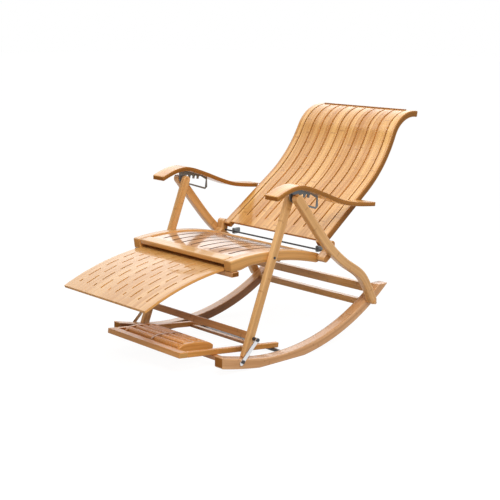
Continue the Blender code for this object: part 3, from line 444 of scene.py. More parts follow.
def places(length, radius, half, ends, step=0.006):
    """Distances along a bar, with the section's inset and squeeze at each, for sawn or round ends."""
    def one(kind):
        phi = np.linspace(0, math.pi / 2, 4) if kind == "sawn" else np.radians([7, 20, 35, 50, 65, 80, 90])
        if kind == "sawn":
            return radius * (1 - np.cos(phi)), radius * (1 - np.sin(phi)), np.ones(4)
        return -half * np.cos(phi), np.zeros(7), np.sin(phi)
    first, last = one(ends[0]), one(ends[1])
    low, high = first[0][-1], length - last[0][-1]
    middle = np.linspace(low, high, max(2, int((high - low) / step)))[1:-1]
    flat = np.ones(len(middle))
    return (np.concatenate([first[0], middle, length - last[0][::-1]]),
            np.concatenate([first[1], 0 * flat, last[1][::-1]]),
            np.concatenate([first[2], flat, last[2][::-1]]))


# %% Rings to a mesh
PIECE_NUMBERS = itertools.count(1)


def put(name, verts, faces, grain, look, node=None, edge=None, end=None):
    """New object from points, faces and a grain map, riding on a CAD node's body.

    Each piece reads its own part of the grain, so no two boards look alike.
    """
    number = next(PIECE_NUMBERS)
    mesh = bpy.data.meshes.new(name)
    mesh.from_pydata(np.asarray(verts).tolist(), [], faces)
    layer = mesh.uv_layers.new(name="grain")
    shifted = np.asarray(grain) + [0.37 * number, 0.113 * number]
    layer.data.foreach_set("uv", shifted.astype(np.float32).ravel())
    for key, values in (("edge", edge), ("end", end)):
        if values is not None:
            domain = "POINT" if len(values) == len(verts) else "FACE"
            marks = mesh.attributes.new(key, "FLOAT", domain)
            marks.data.foreach_set("value", np.asarray(values, np.float32))
    mesh.shade_smooth()
    mesh.materials.append(look)
    piece = bpy.data.objects.new(name, mesh)
    bpy.context.scene.collection.objects.link(piece)
    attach(piece, frame["nodes"][node]["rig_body"])
    return piece


def skin(name, rings, u, edge, look, node, tips=(1.0, 1.0)):
    """Closed skin over rings of points: quads between neighbouring rings and one face on each end.

    tips is how far the first and the last end take the tone of end grain.
    """
    count, around = rings.shape[:2]
    i, j = np.meshgrid(np.arange(count - 1), np.arange(around), indexing="ij")
    k = (j + 1) % around
    quads = np.stack([i * around + j, (i + 1) * around + j, (i + 1) * around + k, i * around + k], -1)
    middle = rings[count // 2]
    v = np.concatenate([[0], np.cumsum(np.linalg.norm(np.roll(middle, -1, 0) - middle, axis=1))])
    grain = np.stack([np.stack([u[i], v[j]], -1), np.stack([u[i + 1], v[j]], -1),
                      np.stack([u[i + 1], v[j + 1]], -1), np.stack([u[i], v[j + 1]], -1)], 2)
    caps = [list(range(around)), list(range(count * around - 1, (count - 1) * around - 1, -1))]
    first, last = (np.stack([np.full(around, end), v[:-1]], 1) for end in (u[0], u[-1]))
    faces = quads.reshape(-1, 4).tolist() + caps
    grain = np.concatenate([grain.reshape(-1, 2), first, last[::-1]])
    end = np.zeros(len(faces))
    end[-2:] = tips
    return put(name, rings.reshape(-1, 3), faces, grain, look, node, np.tile(edge, count), end)


def bar(node, path, low, high, radius, look, x=None, ends=("sawn", "sawn"), slant=(0.0, 0.0), cut=1.0,
        name=None, stands=True, tips=(1.0, 1.0)):
    """Rounded oblong carried along a side-view line.

    At a distance s the section spans x across the chair, and low to high on the line's left.  slant turns
    a sawn end: points further to the left move along the bar by that share.  cut is how far the side faces
    take the tone of a cut edge, or one value for the -x face and one for the +x face.  A piece that stands
    for its node hides the plain one.
    """
    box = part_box(node)
    x0, x1 = x if x is not None else (box[0].x, box[1].x)
    path = np.asarray(path, float)
    far = travelled(path)
    spread = [np.broadcast_to(np.asarray(value, float), far.shape) for value in (x0, x1, low, high)]
    half = (spread[3] - spread[2]).mean() / 2
    s, inset, squeeze = places(far[-1], radius, half, ends)
    inside = np.clip(s, 0, far[-1])
    x_low, x_high, bottom, top = (np.interp(inside, far, value) for value in spread)
    heading = np.stack([np.interp(inside, far, part) for part in headings(path).T], 1)
    heading /= np.hypot(*heading.T)[:, None]
    normal = heading[:, ::-1] * [-1, 1]
    middle = np.stack([np.interp(inside, far, part) for part in path.T], 1) + heading * (s - inside)[:, None]
    px, ph, edge = section((x_high - x_low) / 2 - inset, (top - bottom) / 2 * squeeze - inset,
                           radius - 0.9 * inset)
    px += ((x_low + x_high) / 2)[:, None]
    ph += ((bottom + top) / 2)[:, None]
    reach = 0.04 + 2 * half * np.abs(slant)
    near = np.stack([np.clip(1 - s / reach[0], 0, 1), np.clip(1 - (far[-1] - s) / reach[1], 0, 1)])
    slid = ph * (near[0] * slant[0] + near[1] * slant[1])[:, None]
    flat = middle[:, None] + normal[:, None] * ph[..., None] + heading[:, None] * slid[..., None]
    rings = np.concatenate([px[..., None], flat - [SHIFT, 0.0]], -1)
    cut = np.broadcast_to(cut, 2)
    edge = np.where(edge < 0, -cut[0] * edge, cut[1] * edge)
    piece = skin(name or f"{node}_shaped", rings, s, edge, look, node, tips)
    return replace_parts(piece, node) if stands else piece


def rail(node, centre, size, angle, radius, look, x=None, name=None, stands=True):
    """Straight bar across the chair: a rounded oblong round a centre, turned by an angle in the side view."""
    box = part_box(node)
    x0, x1 = x if x is not None else (box[0].x, box[1].x)
    s, inset, _ = places(x1 - x0, radius, 0.0, ("sawn", "sawn"), 0.02)
    px, ph, edge = section(size[0] / 2 - inset, size[1] / 2 - inset, radius - 0.9 * inset)
    wide = np.array([math.cos(angle), math.sin(angle)])
    tall = np.array([math.sin(angle), -math.cos(angle)])
    flat = np.asarray(centre) + px[..., None] * wide + ph[..., None] * tall - [SHIFT, 0.0]
    rings = np.concatenate([np.broadcast_to((x0 + s)[:, None, None], px.shape + (1,)), flat], -1)
    piece = skin(name or f"{node}_shaped", rings, s, 0.35 * np.abs(edge), look, node)
    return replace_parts(piece, node) if stands else piece


print("helpers ready for", len(frame["nodes"]), "nodes")

# %% [markdown]
# ## Rockers
# A rocker is a thick bent board.  It stands on a short flat land, rises in a long gentle arc to its sawn
# front and in a tighter arc to its rear tip, which is sawn level.  The line below is the bent lower edge;
# where the land cuts it, the section starts a little higher.  The inner faces take a dark cut tone and less
# lacquer as painted shade, for the shadow they lie in, so they are darker than the outer ones.

# %% Rockers
SIDES = ("left", "right")
ROCKER_RADIUS, FRONT_RADIUS, LOW_Y, LAND = 0.800, 1.600, 0.260, 0.200
ROCKER_HEIGHT, ROCKER_NOSE, ROCKER_REAR_Y = 0.031, 0.004, 0.775
# The first value is the share of dark cut tone on a rocker's inner face: painted shade.
INNER_PAINTED_SHADE, BAR_EDGE = 0.8, 0.0035
land_angle = math.asin(LAND / 2 / ROCKER_RADIUS)
rocking = np.array([LOW_Y, ROCKER_RADIUS * math.cos(land_angle)])
knee = along(rocking, -math.pi / 2 - land_angle, ROCKER_RADIUS)
front_centre = along(knee, math.pi / 2 - land_angle, FRONT_RADIUS)
front_angle = -math.pi / 2 - math.asin(front_centre[0] / FRONT_RADIUS)
rear_angle = -math.pi / 2 + math.asin((ROCKER_REAR_Y - LOW_Y) / ROCKER_RADIUS)
rocker_line = np.vstack([
    arc(front_centre, FRONT_RADIUS, front_angle, -math.pi / 2 - land_angle, 24)[:-1],
    arc(rocking, ROCKER_RADIUS, -math.pi / 2 - land_angle, rear_angle, 90)])
lift = np.maximum(0.0, -rocker_line[:, 1]) / lefts(rocker_line)[:, 1]
swell = ROCKER_HEIGHT + ROCKER_NOSE * np.maximum(0.0, 1 - rocker_line[:, 0] / knee[0])
front_slope = math.tan(front_angle + math.pi / 2)
rear_slope = -1 / math.tan(rear_angle + math.pi / 2)
# Inner faces get the dark cut tone and less lacquer: painted shade.
for side, inner_shade in zip(SIDES, ((INNER_PAINTED_SHADE, 0.0), (0.0, INNER_PAINTED_SHADE))):
    bar(f"rocker_{side}", rocker_line, lift, swell, BAR_EDGE, ROCKER, slant=(front_slope, rear_slope),
        cut=inner_shade, tips=(1.0, 0.15))
print("rocker length", round(travelled(rocker_line)[-1], 3))


def rocker_top(y):
    """Height of the rocker's upper edge at y, read off its lower line moved to the left."""
    upper = rocker_line + lefts(rocker_line) * swell[:, None]
    return np.interp(y, upper[:, 0], upper[:, 1])


def rocker_middle(y):
    """Point half way up a rocker at y."""
    return np.array([y, (np.interp(y, *rocker_line.T) + rocker_top(y)) / 2])


# %% [markdown]
# ## Legs
# The front leg is a straight slim bar with a round head, and its foot is sawn to lie on the rocker.  The
# rear leg is bent like an S from the same pin at the top to a bolt on the outside of the rocker.

# %% Front and rear legs
LEG_TOP, LEG_FOOT = np.array([0.299, 0.526]), np.array([0.117, 0.050])
FRONT_LEG_WIDTH, REAR_LEG_WIDTH = 0.028, 0.030
REAR_LEG_BENDS = ((0.428, 0.374), (0.512, 0.300), (0.613, 0.233))
REAR_FOOT = rocker_middle(0.678) + [-0.004, 0.009]
LEG_CUT = 0.1
LEG_ANGLE = math.atan2(*(LEG_TOP - LEG_FOOT)[::-1])
foot = LEG_FOOT.copy()
for _ in range(12):
    foot = along(foot, LEG_ANGLE, (rocker_top(foot[0]) + 0.0004 - foot[1]) / math.sin(LEG_ANGLE))
ledge = math.atan2(rocker_top(foot[0] + 0.01) - rocker_top(foot[0] - 0.01), 0.02)
leg_line = np.linspace(foot, LEG_TOP, 60)
rear_line = bent_line((LEG_TOP, *REAR_LEG_BENDS, REAR_FOOT), 16)
for side in SIDES:
    bar(f"front_leg_{side}", leg_line, -FRONT_LEG_WIDTH / 2, FRONT_LEG_WIDTH / 2, BAR_EDGE, HONEY,
        ends=("sawn", "round"), slant=(-1 / math.tan(LEG_ANGLE - ledge), 0), cut=LEG_CUT)
    bar(f"rear_leg_{side}", rear_line, -REAR_LEG_WIDTH / 2, REAR_LEG_WIDTH / 2, BAR_EDGE, HONEY,
        ends=("round", "round"), cut=LEG_CUT)
print("front leg", round(travelled(leg_line)[-1], 3), "rear leg", round(travelled(rear_line)[-1], 3))

# %% [markdown]
# ## Rails between the sides
# Plain square rails tie the two sides together.  The front ones sit in the shade, and their bamboo is a
# darker tone that is partly its own and partly painted shade.

# %% Cross rails
STRETCHER, STRETCHER_Z, RAIL_EDGE = (0.016, 0.0235), 0.092, 0.002
REAR_UPPER, REAR_LOWER = ((0.647, 0.187), (0.020, 0.028)), ((0.664, 0.126), (0.022, 0.022))
FRONT_RAIL_LESS = 0.003
on_leg = LEG_FOOT + (LEG_TOP - LEG_FOOT) * (STRETCHER_Z - LEG_FOOT[1]) / (LEG_TOP[1] - LEG_FOOT[1])
across = LEG_ANGLE - math.pi / 2
corner = along(on_leg, across, -FRONT_LEG_WIDTH / 2)
stretcher_mid = along(along(corner, across, STRETCHER[0] / 2), LEG_ANGLE, STRETCHER[1] / 2)
# The front rails' darker bamboo is partly painted shade.
rail("front_leg_stretcher", stretcher_mid, STRETCHER, across, RAIL_EDGE, DARKER_STOCK_AND_PAINTED_SHADE)
rail("rear_upper_rail", *REAR_UPPER, 0.0, RAIL_EDGE, HONEY)
rail("rear_lower_rail", *REAR_LOWER, 0.0, RAIL_EDGE, HONEY)
lower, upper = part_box("rocker_front_rail")
rail("rocker_front_rail", ((lower.y + upper.y) / 2 + SHIFT, (lower.z + upper.z) / 2 - FRONT_RAIL_LESS / 3),
     (upper.y - lower.y, upper.z - lower.z - FRONT_RAIL_LESS), 0.0, RAIL_EDGE, DARKER_STOCK_AND_PAINTED_SHADE)
print("stretcher", STRETCHER, "rear rails", REAR_UPPER[1], REAR_LOWER[1])

# %% [markdown]
# ## Slotted boards
# The seat, the back and the leg rest are boards with long slits cut through them.  Such a board is a grid of
# cells along a side-view line; a cell that lies in a slit is left out, and walls close the gap it leaves.
# A Bevel modifier then sands every edge.


# %% Slotted board helper
def slotted(node, path, x, low, high, solid, look, bevel=0.0009):
    """Board of cells with slits.

    Cell corners lie at path[row] moved left by low or high, and at x[row, column] across the chair.  solid
    tells which cells are wood.  A wall stands on each side of a wooden cell whose neighbour is missing.
    """
    rows, columns = x.shape
    s, left = travelled(path), lefts(path)
    def level(height):
        flat = path + left * np.broadcast_to(height, s.shape)[:, None] - [SHIFT, 0.0]
        return np.concatenate([x[..., None], np.broadcast_to(flat[:, None], (rows, columns, 2))], -1)
    verts = np.concatenate([level(high).reshape(-1, 3), level(low).reshape(-1, 3)])
    thick = float(np.mean(np.asarray(high) - np.asarray(low)))
    grain = np.stack([np.broadcast_to(s[:, None], x.shape), x], -1).reshape(-1, 2)
    grain = np.concatenate([grain, grain + [0.0, thick]])
    under = rows * columns
    at = np.arange(under).reshape(rows, columns)
    padded = np.pad(solid, 1)

    def strip(mask, first, second, flip):
        pair = np.stack([first[mask], second[mask]], 1)
        wall = np.stack([pair[:, 0], pair[:, 0] + under, pair[:, 1] + under, pair[:, 1]], 1)
        return wall[:, ::-1] if flip else wall
    a, b, c, d = at[:-1, :-1], at[:-1, 1:], at[1:, 1:], at[1:, :-1]
    top = np.stack([a, b, c, d], -1)[solid]
    walls = [strip(solid & ~padded[1:-1, 2:], b, c, False), strip(solid & ~padded[1:-1, :-2], a, d, True),
             strip(solid & ~padded[:-2, 1:-1], a, b, False), strip(solid & ~padded[2:, 1:-1], d, c, True)]
    faces = np.concatenate([top, top[:, ::-1] + under, *walls])
    edge = np.zeros(len(faces))
    edge[2 * len(top):] = 1.0
    piece = put(f"{node}_shaped", verts, faces.tolist(), grain[faces].reshape(-1, 2), look, node, edge)
    sanding = piece.modifiers.new("sanded edges", "BEVEL")
    sanding.width = bevel
    sanding.segments = 2
    sanding.limit_method = "ANGLE"
    sanding.angle_limit = math.radians(50)
    sanding.harden_normals = True
    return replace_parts(piece, node)


def rows_with(edges, length, step):
    """Distances along a board that include the given ones, with even steps between them."""
    stops = np.unique(np.concatenate([[0.0], np.sort(edges), [length]]))
    spans = [np.linspace(p, q, max(2, int(round((q - p) / step)) + 1))[:-1] for p, q in zip(stops, stops[1:])]
    return np.concatenate([*spans, [length]])


def points_at(path, s):
    """Points of a line at distances along it."""
    far = travelled(path)
    return np.stack([np.interp(s, far, part) for part in path.T], 1)


SLATS, SLIT_TIP, TIP_SHARE = 9, 0.0016, 0.45


def long_slits(s, first, last, half, slit, rim):
    """Cell corners in x and wooden cells of a board whose slits run from first to last between its slats.

    The slits narrow at their tips.  With a rim, a narrower slit runs along each side of the board too.
    """
    at_tip = np.isclose(s, first) | np.isclose(s, last)
    width = np.where(at_tip, TIP_SHARE * slit, slit)[:, None]
    middles = half * (-1 + 2 * np.arange(1, SLATS) / SLATS)
    lines = [-half, half, middles - width / 2, middles + width / 2]
    if rim:
        lines += [TIP_SHARE * width - half, half - TIP_SHARE * width]
    x = np.sort(np.concatenate(lines, 1), 1)
    cut_through = (s > first - 1e-6) & (s < last + 1e-6)
    solid = np.ones((len(s) - 1, x.shape[1] - 1), bool)
    first_slit = 0 if rim else 1
    solid[np.ix_(cut_through[:-1] & cut_through[1:], np.arange(first_slit, x.shape[1] - 1, 2))] = False
    return x, solid


print("board helpers ready for", SLATS, "slats")

# %% [markdown]
# ## Seat
# The seat is a crowned frame of four rails round a slotted deck that lies a little lower.  The side rails
# have end grain at the front, where they stick out beside the front rail.

# %% Seat frame
SEAT_CROWN, SEAT_RADIUS = np.array([0.195, 0.361]), 0.930
SEAT_FRONT_Y, DECK_FRONT_Y, DECK_REAR_Y, DECK_THICK = 0.060, 0.1053, 0.440, 0.010
RAIL_END = np.array([0.452, 0.310])
RAIL_DROP_Y, RAIL_DROP = (0.060, 0.100, 0.135, 0.40, 0.448), (-0.0350, -0.0385, -0.0330, -0.033, -0.032)
FRONT_RAIL_Y, FRONT_RAIL_DROP, FRONT_RAIL_SIZE = 0.0840, 0.0081, (0.0418, 0.0162)
SUPPORT_Y, SUPPORT_SIZE, SUPPORT_LOWER = 0.0805, (0.029, 0.016), 0.0006
seat_centre = SEAT_CROWN - [0.0, SEAT_RADIUS]


def seat_height(y, drop=0.0):
    """Height of the seat's arc, or of an arc below it."""
    return seat_centre[1] + np.sqrt((SEAT_RADIUS - drop) ** 2 - (y - seat_centre[0]) ** 2)


def seat_line(first, last, count=90):
    """Seat arc from one y to another."""
    y = np.linspace(first, last, count)
    return np.stack([y, seat_height(y)], 1)


rail_path = seat_line(SEAT_FRONT_Y, RAIL_END[0] - 0.004)
rail_drop = np.interp(rail_path[:, 0], RAIL_DROP_Y, RAIL_DROP)
for side in SIDES:
    bar(f"seat_rail_{side}", rail_path, rail_drop, 0.0, 0.004, REST, ends=("sawn", "round"), cut=0.6)
front_mid = np.array([FRONT_RAIL_Y, seat_height(FRONT_RAIL_Y) - FRONT_RAIL_DROP])
front_tilt = math.atan2(seat_height(0.105) - seat_height(0.060), 0.045)
rail("seat_front_rail", front_mid, FRONT_RAIL_SIZE, front_tilt, BAR_EDGE, REST)
lower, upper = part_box("footrest_support_bar")
# The support bar's darker bamboo is partly painted shade.
rail("footrest_support_bar", (SUPPORT_Y, (lower.z + upper.z) / 2 - SUPPORT_LOWER), SUPPORT_SIZE, 0.0,
     RAIL_EDGE, DARKER_STOCK_AND_PAINTED_SHADE)
print("seat rails", round(travelled(rail_path)[-1], 3), "long")

# %% Seat deck
DECK_SLIT, REAR_RAIL, REAR_RAIL_THICK = 0.0075, 0.026, 0.012
DECK_SUNK, DECK_BELOW, DECK_MARGIN, DECK_REAR_MARGIN = 0.0045, 0.0115, 0.020, 0.0044
deck_path = seat_line(DECK_FRONT_Y, DECK_REAR_Y - REAR_RAIL - 0.0004, 300)
deck_length = travelled(deck_path)[-1]
deck_first, deck_last = DECK_MARGIN, deck_length - DECK_REAR_MARGIN
deck_s = rows_with([deck_first, deck_first + SLIT_TIP, deck_last - SLIT_TIP, deck_last], deck_length, 0.008)
half_deck = np.full((len(deck_s), 1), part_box("seat_deck")[1].x)
deck_x, deck_solid = long_slits(deck_s, deck_first, deck_last, half_deck, DECK_SLIT, rim=False)
slotted("seat_deck", points_at(deck_path, deck_s), deck_x, -DECK_BELOW, -DECK_SUNK, deck_solid, SEAT, 0.0004)
rear_mid_y = DECK_REAR_Y - REAR_RAIL / 2
rear_tilt = math.atan2(seat_height(DECK_REAR_Y) - seat_height(DECK_REAR_Y - REAR_RAIL), REAR_RAIL)
rear_mid = along((rear_mid_y, seat_height(rear_mid_y)), rear_tilt - math.pi / 2, REAR_RAIL_THICK / 2 + 0.0001)
rail("seat_deck", rear_mid, (REAR_RAIL, REAR_RAIL_THICK), rear_tilt, 0.003, HONEY,
     name="seat_rear_rail_shaped")
print("deck", round(deck_length, 3), "long with", SLATS, "slats")

# %% [markdown]
# ## Leg rest
# A thin bent board that slides out from under the seat.  Short slits in a brick pattern make it springy, and
# a lip across its heel stops it at the seat's front rail.  The lip is coloured dark as painted shade, the
# shadow in the gap below that rail, and the light cut tone on the slit walls is painted light.

# %% Leg rest
REST_CENTRE, REST_RADIUS, REST_THICK, REST_FRONT_Y = np.array([0.150, -0.5914]), 0.920, 0.009, -0.243
REST_STOP_Y, LIP_DEPTH, LIP_CLEAR = 0.1053, 0.018, 0.0008
REST_STEPS, REST_COLUMNS, REST_SLIT = 30, 10, 0.0042
SLIT_STEPS, BRICK_STEPS, PLAIN_STEPS = 4, 6, 3


def rest_height(y):
    """Height of the leg rest's upper face."""
    return REST_CENTRE[1] + np.sqrt(REST_RADIUS ** 2 - (y - REST_CENTRE[0]) ** 2)


rest_stops = np.append(np.linspace(REST_FRONT_Y, REST_STOP_Y, REST_STEPS + 1), REST_STOP_Y + LIP_DEPTH)
rest_y = np.interp(np.arange(0, len(rest_stops) - 0.75, 0.5), np.arange(len(rest_stops)), rest_stops)
half_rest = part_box("footrest_board")[1].x
rest_middles = half_rest * (-1 + 2 * np.arange(1, REST_COLUMNS + 1) / (REST_COLUMNS + 1))
rest_x = np.sort(np.concatenate([[-half_rest, half_rest], rest_middles - REST_SLIT / 2,
                                 rest_middles + REST_SLIT / 2]))
rest_row = np.arange(len(rest_y) - 1) // 2
odd_column = np.arange(REST_COLUMNS) % 2
rest_open = (rest_row[:, None] + BRICK_STEPS // 2 * odd_column) % BRICK_STEPS < SLIT_STEPS
rest_open &= ((rest_row >= PLAIN_STEPS) & (rest_row < REST_STEPS - PLAIN_STEPS))[:, None]
rest_solid = np.ones((len(rest_y) - 1, len(rest_x) - 1), bool)
rest_solid[:, 1::2] = ~rest_open
slotted("footrest_board", np.stack([rest_y, rest_height(rest_y)], 1),
        np.broadcast_to(rest_x, (len(rest_y), len(rest_x))), -REST_THICK, 0.0, rest_solid, REST, bevel=0.0012)
lip_top = seat_height(REST_STOP_Y, DECK_THICK) - LIP_CLEAR
lip_low = rest_height(REST_STOP_Y + LIP_DEPTH / 2) - 0.0005
lip_mid = (REST_STOP_Y + LIP_CLEAR + LIP_DEPTH / 2, (lip_top + lip_low) / 2)
# The lip's dark colour is painted shade for the gap under the seat's front rail.
rail("footrest_board", lip_mid, (LIP_DEPTH - 0.002, lip_top - lip_low), 0.0, RAIL_EDGE, DARK_PAINTED_SHADE,
     name="footrest_heel_lip")
print("leg rest slits", int(rest_open.sum() // (2 * SLIT_STEPS)))

# %% [markdown]
# ## Back
# The back rises straight, bends up and curls over at the top.  Two stiles carry nine slats.  Everything
# leans in a little with height, so the widths are read off each point's height.  At the top a crest rail
# closes the slats, with a raised bead along the joint whose dark colour is a painted shadow line, and a
# batten stiffens it from behind; the batten's darker bamboo is partly painted shade.  The slit walls of the
# slats are lighter as painted light.

# %% Back profile and stiles
PIVOT, BACK_TILT, BACK_STEEP, BACK_END = np.array([0.482, 0.356]), *np.radians([36.4, 65, -10])
STRAIGHT, BEND_RADIUS, CURL_RADIUS, STILE_WIDTH, STILE_THICK = 0.272, 0.457, 0.131, 0.030, 0.022
DEPTH, HEIGHT = 0.970, 0.770
STILE_OUTER, STILE_LEAN = 0.244, 0.017
back_foot = along(along(PIVOT, BACK_TILT, -0.011), BACK_TILT + math.pi / 2, STILE_THICK / 2)
bend_start = along(back_foot, BACK_TILT, STRAIGHT)
bend_centre = along(bend_start, BACK_TILT + math.pi / 2, BEND_RADIUS)
curl_start = along(bend_centre, BACK_STEEP - math.pi / 2, BEND_RADIUS)
curl_centre = along(curl_start, BACK_STEEP - math.pi / 2, CURL_RADIUS)
back_line = np.vstack([
    np.linspace(back_foot, bend_start, 40)[:-1],
    arc(bend_centre, BEND_RADIUS, BACK_TILT - math.pi / 2, BACK_STEEP - math.pi / 2, 50)[:-1],
    arc(curl_centre, CURL_RADIUS, BACK_STEEP + math.pi / 2, BACK_END + math.pi / 2, 60)])
back_line = back_foot + (back_line - back_foot) * ([DEPTH, HEIGHT] - back_foot) / (
    [back_line[-1, 0], back_line[:, 1].max()] - back_foot)


def stile_outer(z):
    """Outer face of a stile, which leans in with height."""
    return STILE_OUTER - STILE_LEAN * (z - PIVOT[1]) / (HEIGHT - PIVOT[1])


outer = stile_outer(back_line[:, 1] - 0.005)
for side, sign in zip(SIDES, (1, -1)):
    limits = (outer - STILE_WIDTH, outer) if sign > 0 else (-outer, STILE_WIDTH - outer)
    bar(f"back_stile_{side}", back_line, -STILE_THICK, 0.0, BAR_EDGE, SLAT, x=limits)
back_length = travelled(back_line)[-1]
print("back line", round(back_length, 3), "long")

# %% Back slats and batten
PANEL_START, PANEL_THICK, PANEL_SUNK, PANEL_GAP = 0.010, 0.0098, 0.0008, 0.0003
BACK_SLIT, SLIT_LOW, SLIT_HIGH = 0.0064, 0.052, 0.006
CREST, BEAD, BEAD_HEIGHT, BATTEN, BATTEN_THICK = 0.034, 0.006, 0.0036, 0.048, 0.007
panel_end = back_length - CREST
back_first, back_last = SLIT_LOW, panel_end - SLIT_HIGH
back_s = rows_with([PANEL_START, back_first, back_first + SLIT_TIP, back_last - SLIT_TIP, back_last],
                   panel_end, 0.009)
back_s = back_s[back_s >= PANEL_START - 1e-9]
panel_path = points_at(back_line, back_s)
half_panel = (stile_outer(panel_path[:, 1]) - STILE_WIDTH - PANEL_GAP)[:, None]
back_x, back_solid = long_slits(back_s, back_first, back_last, half_panel, BACK_SLIT, rim=True)
# The panel's light cut tone puts painted light on the slit walls.
slotted("back_panel", panel_path, back_x, -PANEL_THICK, -PANEL_SUNK, back_solid, PANEL)


def between_stiles(first, last, count=24):
    """Piece of the back's line, and the limits in x between the stiles along it."""
    path = points_at(back_line, np.linspace(first, last, count))
    reach = stile_outer(path[:, 1]) - STILE_WIDTH - 2 * PANEL_GAP
    return path, (-reach, reach)


crest, crest_x = between_stiles(panel_end + PANEL_GAP, back_length)
bar("back_panel", crest, -PANEL_THICK, 0.0, 0.0015, SLAT, x=crest_x, name="back_crest_rail_shaped")
bead, bead_x = between_stiles(panel_end + PANEL_GAP, panel_end + PANEL_GAP + BEAD, 8)
# The bead's dark colour is a painted shadow line along the crest joint.
bar("back_panel", bead, 0.0002, BEAD_HEIGHT, 0.0012, DARK_PAINTED_SHADE, x=bead_x, name="back_crest_bead")
batten, batten_x = between_stiles(back_length - BATTEN, back_length)
batten_top = -PANEL_THICK - PANEL_GAP
# The batten's darker bamboo is partly painted shade.
bar("back_top_batten", batten, batten_top - BATTEN_THICK, batten_top, RAIL_EDGE, DARKER_STOCK_AND_PAINTED_SHADE, x=batten_x)
print("back slats", SLATS)

# %% [markdown]
# ## Armrests
# Each armrest is a wide bent board.  The corners of its sawn front end are eased in plan: over the first
# millimetres the board's width follows a circle.

# %% Armrests
ARM_PIVOT = along(PIVOT, BACK_TILT, 0.202)
ARM_POINTS = ((0.196, 0.546), (0.244, 0.564), (0.290, 0.572), (0.333, 0.566), (0.395, 0.545), (0.460, 0.520),
              (0.520, 0.5005))
ARM_REAR = ((-0.065, 0.0148), (0.013, 0.0072))
ARM_THICK, ARM_EDGE, ARM_ROUND, ARM_SLANT = 0.0145, 0.0022, 0.003, 0.40
arm_line = bent_line((*ARM_POINTS, *(ARM_PIVOT + ARM_REAR)), 14)
round_s = ARM_ROUND * (1 - np.cos(np.linspace(0, math.pi / 2, 12)))
arm_s = np.unique(np.concatenate([round_s, travelled(arm_line)]))
arm_line = points_at(arm_line, arm_s)
in_round = np.clip(1 - arm_s / ARM_ROUND, 0, 1)
eased = 0.7 * ARM_ROUND * (1 - np.sqrt(1 - in_round ** 2))
for side in SIDES:
    lower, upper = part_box(f"armrest_{side}")
    bar(f"armrest_{side}", arm_line, -ARM_THICK, 0.0, ARM_EDGE, SLAT, x=(lower.x + eased, upper.x - eased),
        slant=(ARM_SLANT, 0.0))
print("armrest", round(arm_s[-1], 3), "long")

# %% [markdown]
# ## Hinge blocks
# Behind each rear leg a small bent block ties the seat rail to the rod and carries the back's pivot.  A short
# steel bracket beside each block clasps the rod from behind.

# %% Hinge blocks
SEAT_ROD, BLOCK_HALF = np.array([0.479, 0.329]), 0.0115
BRACKET_X, BRACKET_MID, BRACKET_SIZE = np.array([0.202, 0.2135]), (0.497, 0.329), (0.032, 0.021)
block_line = np.vstack([np.linspace(RAIL_END, SEAT_ROD, 8)[:-1], np.linspace(SEAT_ROD, PIVOT, 8)])
for side in SIDES:
    bar(f"hinge_block_{side}", block_line, -BLOCK_HALF, BLOCK_HALF, RAIL_EDGE, HONEY, ends=("round", "round"))
for side, sign in zip(SIDES, (1, -1)):
    rail("seat_rod", BRACKET_MID, BRACKET_SIZE, 0.0, 0.003, PLATE_PAINTED_SHADE, x=np.sort(sign * BRACKET_X),
         name=f"rod_bracket_{side}", stands=False)
print("hinge blocks", round(travelled(block_line)[-1], 3), "long")

# %% [markdown]
# ## Roller tray
# A low frame that slides under the leg rest.  Two banks of turned rollers lie between arched end plates and
# a middle divider, and their ribs knead the feet.  A roller is a profile turned round its axis: a wave with
# sharp grooves between its ribs, and a thin journal at each end.

# %% Tray frame
TRAY_FRONT, TRAY_SLOPE, TRAY_GAP = np.array([-0.0939, 0.0596]), math.radians(6.6), 0.0003
TRAY_BAR, FRONT_DEPTH, TRAY_HEIGHT, TRAY_LENGTH = 0.020, 0.034, 0.0175, 0.429
REAR_BAR_Q, REAR_BAR_HEIGHT = 0.343, 0.010
ROLLERS, FIRST_Q, PITCH, ROLLER_RADIUS = 5, 0.0525, 0.0268, 0.0120
ARCH_TOP, ARCH_DROP, ARCH_MID_Q, ARCH_HALF = 0.0335, 0.0133, FIRST_Q + 2 * PITCH, 2 * PITCH + 0.0165
ARCH_END_Q = ARCH_MID_Q + ARCH_HALF


def tray_point(q, w):
    """Side-view point at q along the tray's slope and w above its lower face."""
    return along(along(TRAY_FRONT, -TRAY_SLOPE, q), math.pi / 2 - TRAY_SLOPE, w)


def tray_line(first, last, count=40):
    """Lower face of the tray from one place on its slope to another."""
    return np.linspace(tray_point(first, 0), tray_point(last, 0), count)


def arch(q):
    """Height of the roller end plates along the tray: a fourth power, flat in the middle."""
    return ARCH_TOP - ARCH_DROP * ((q - ARCH_MID_Q) / ARCH_HALF) ** 4


rail("tray_front_bar", tray_point(FRONT_DEPTH / 2, TRAY_HEIGHT / 2), (FRONT_DEPTH, TRAY_HEIGHT), -TRAY_SLOPE,
     RAIL_EDGE, ROLLER)
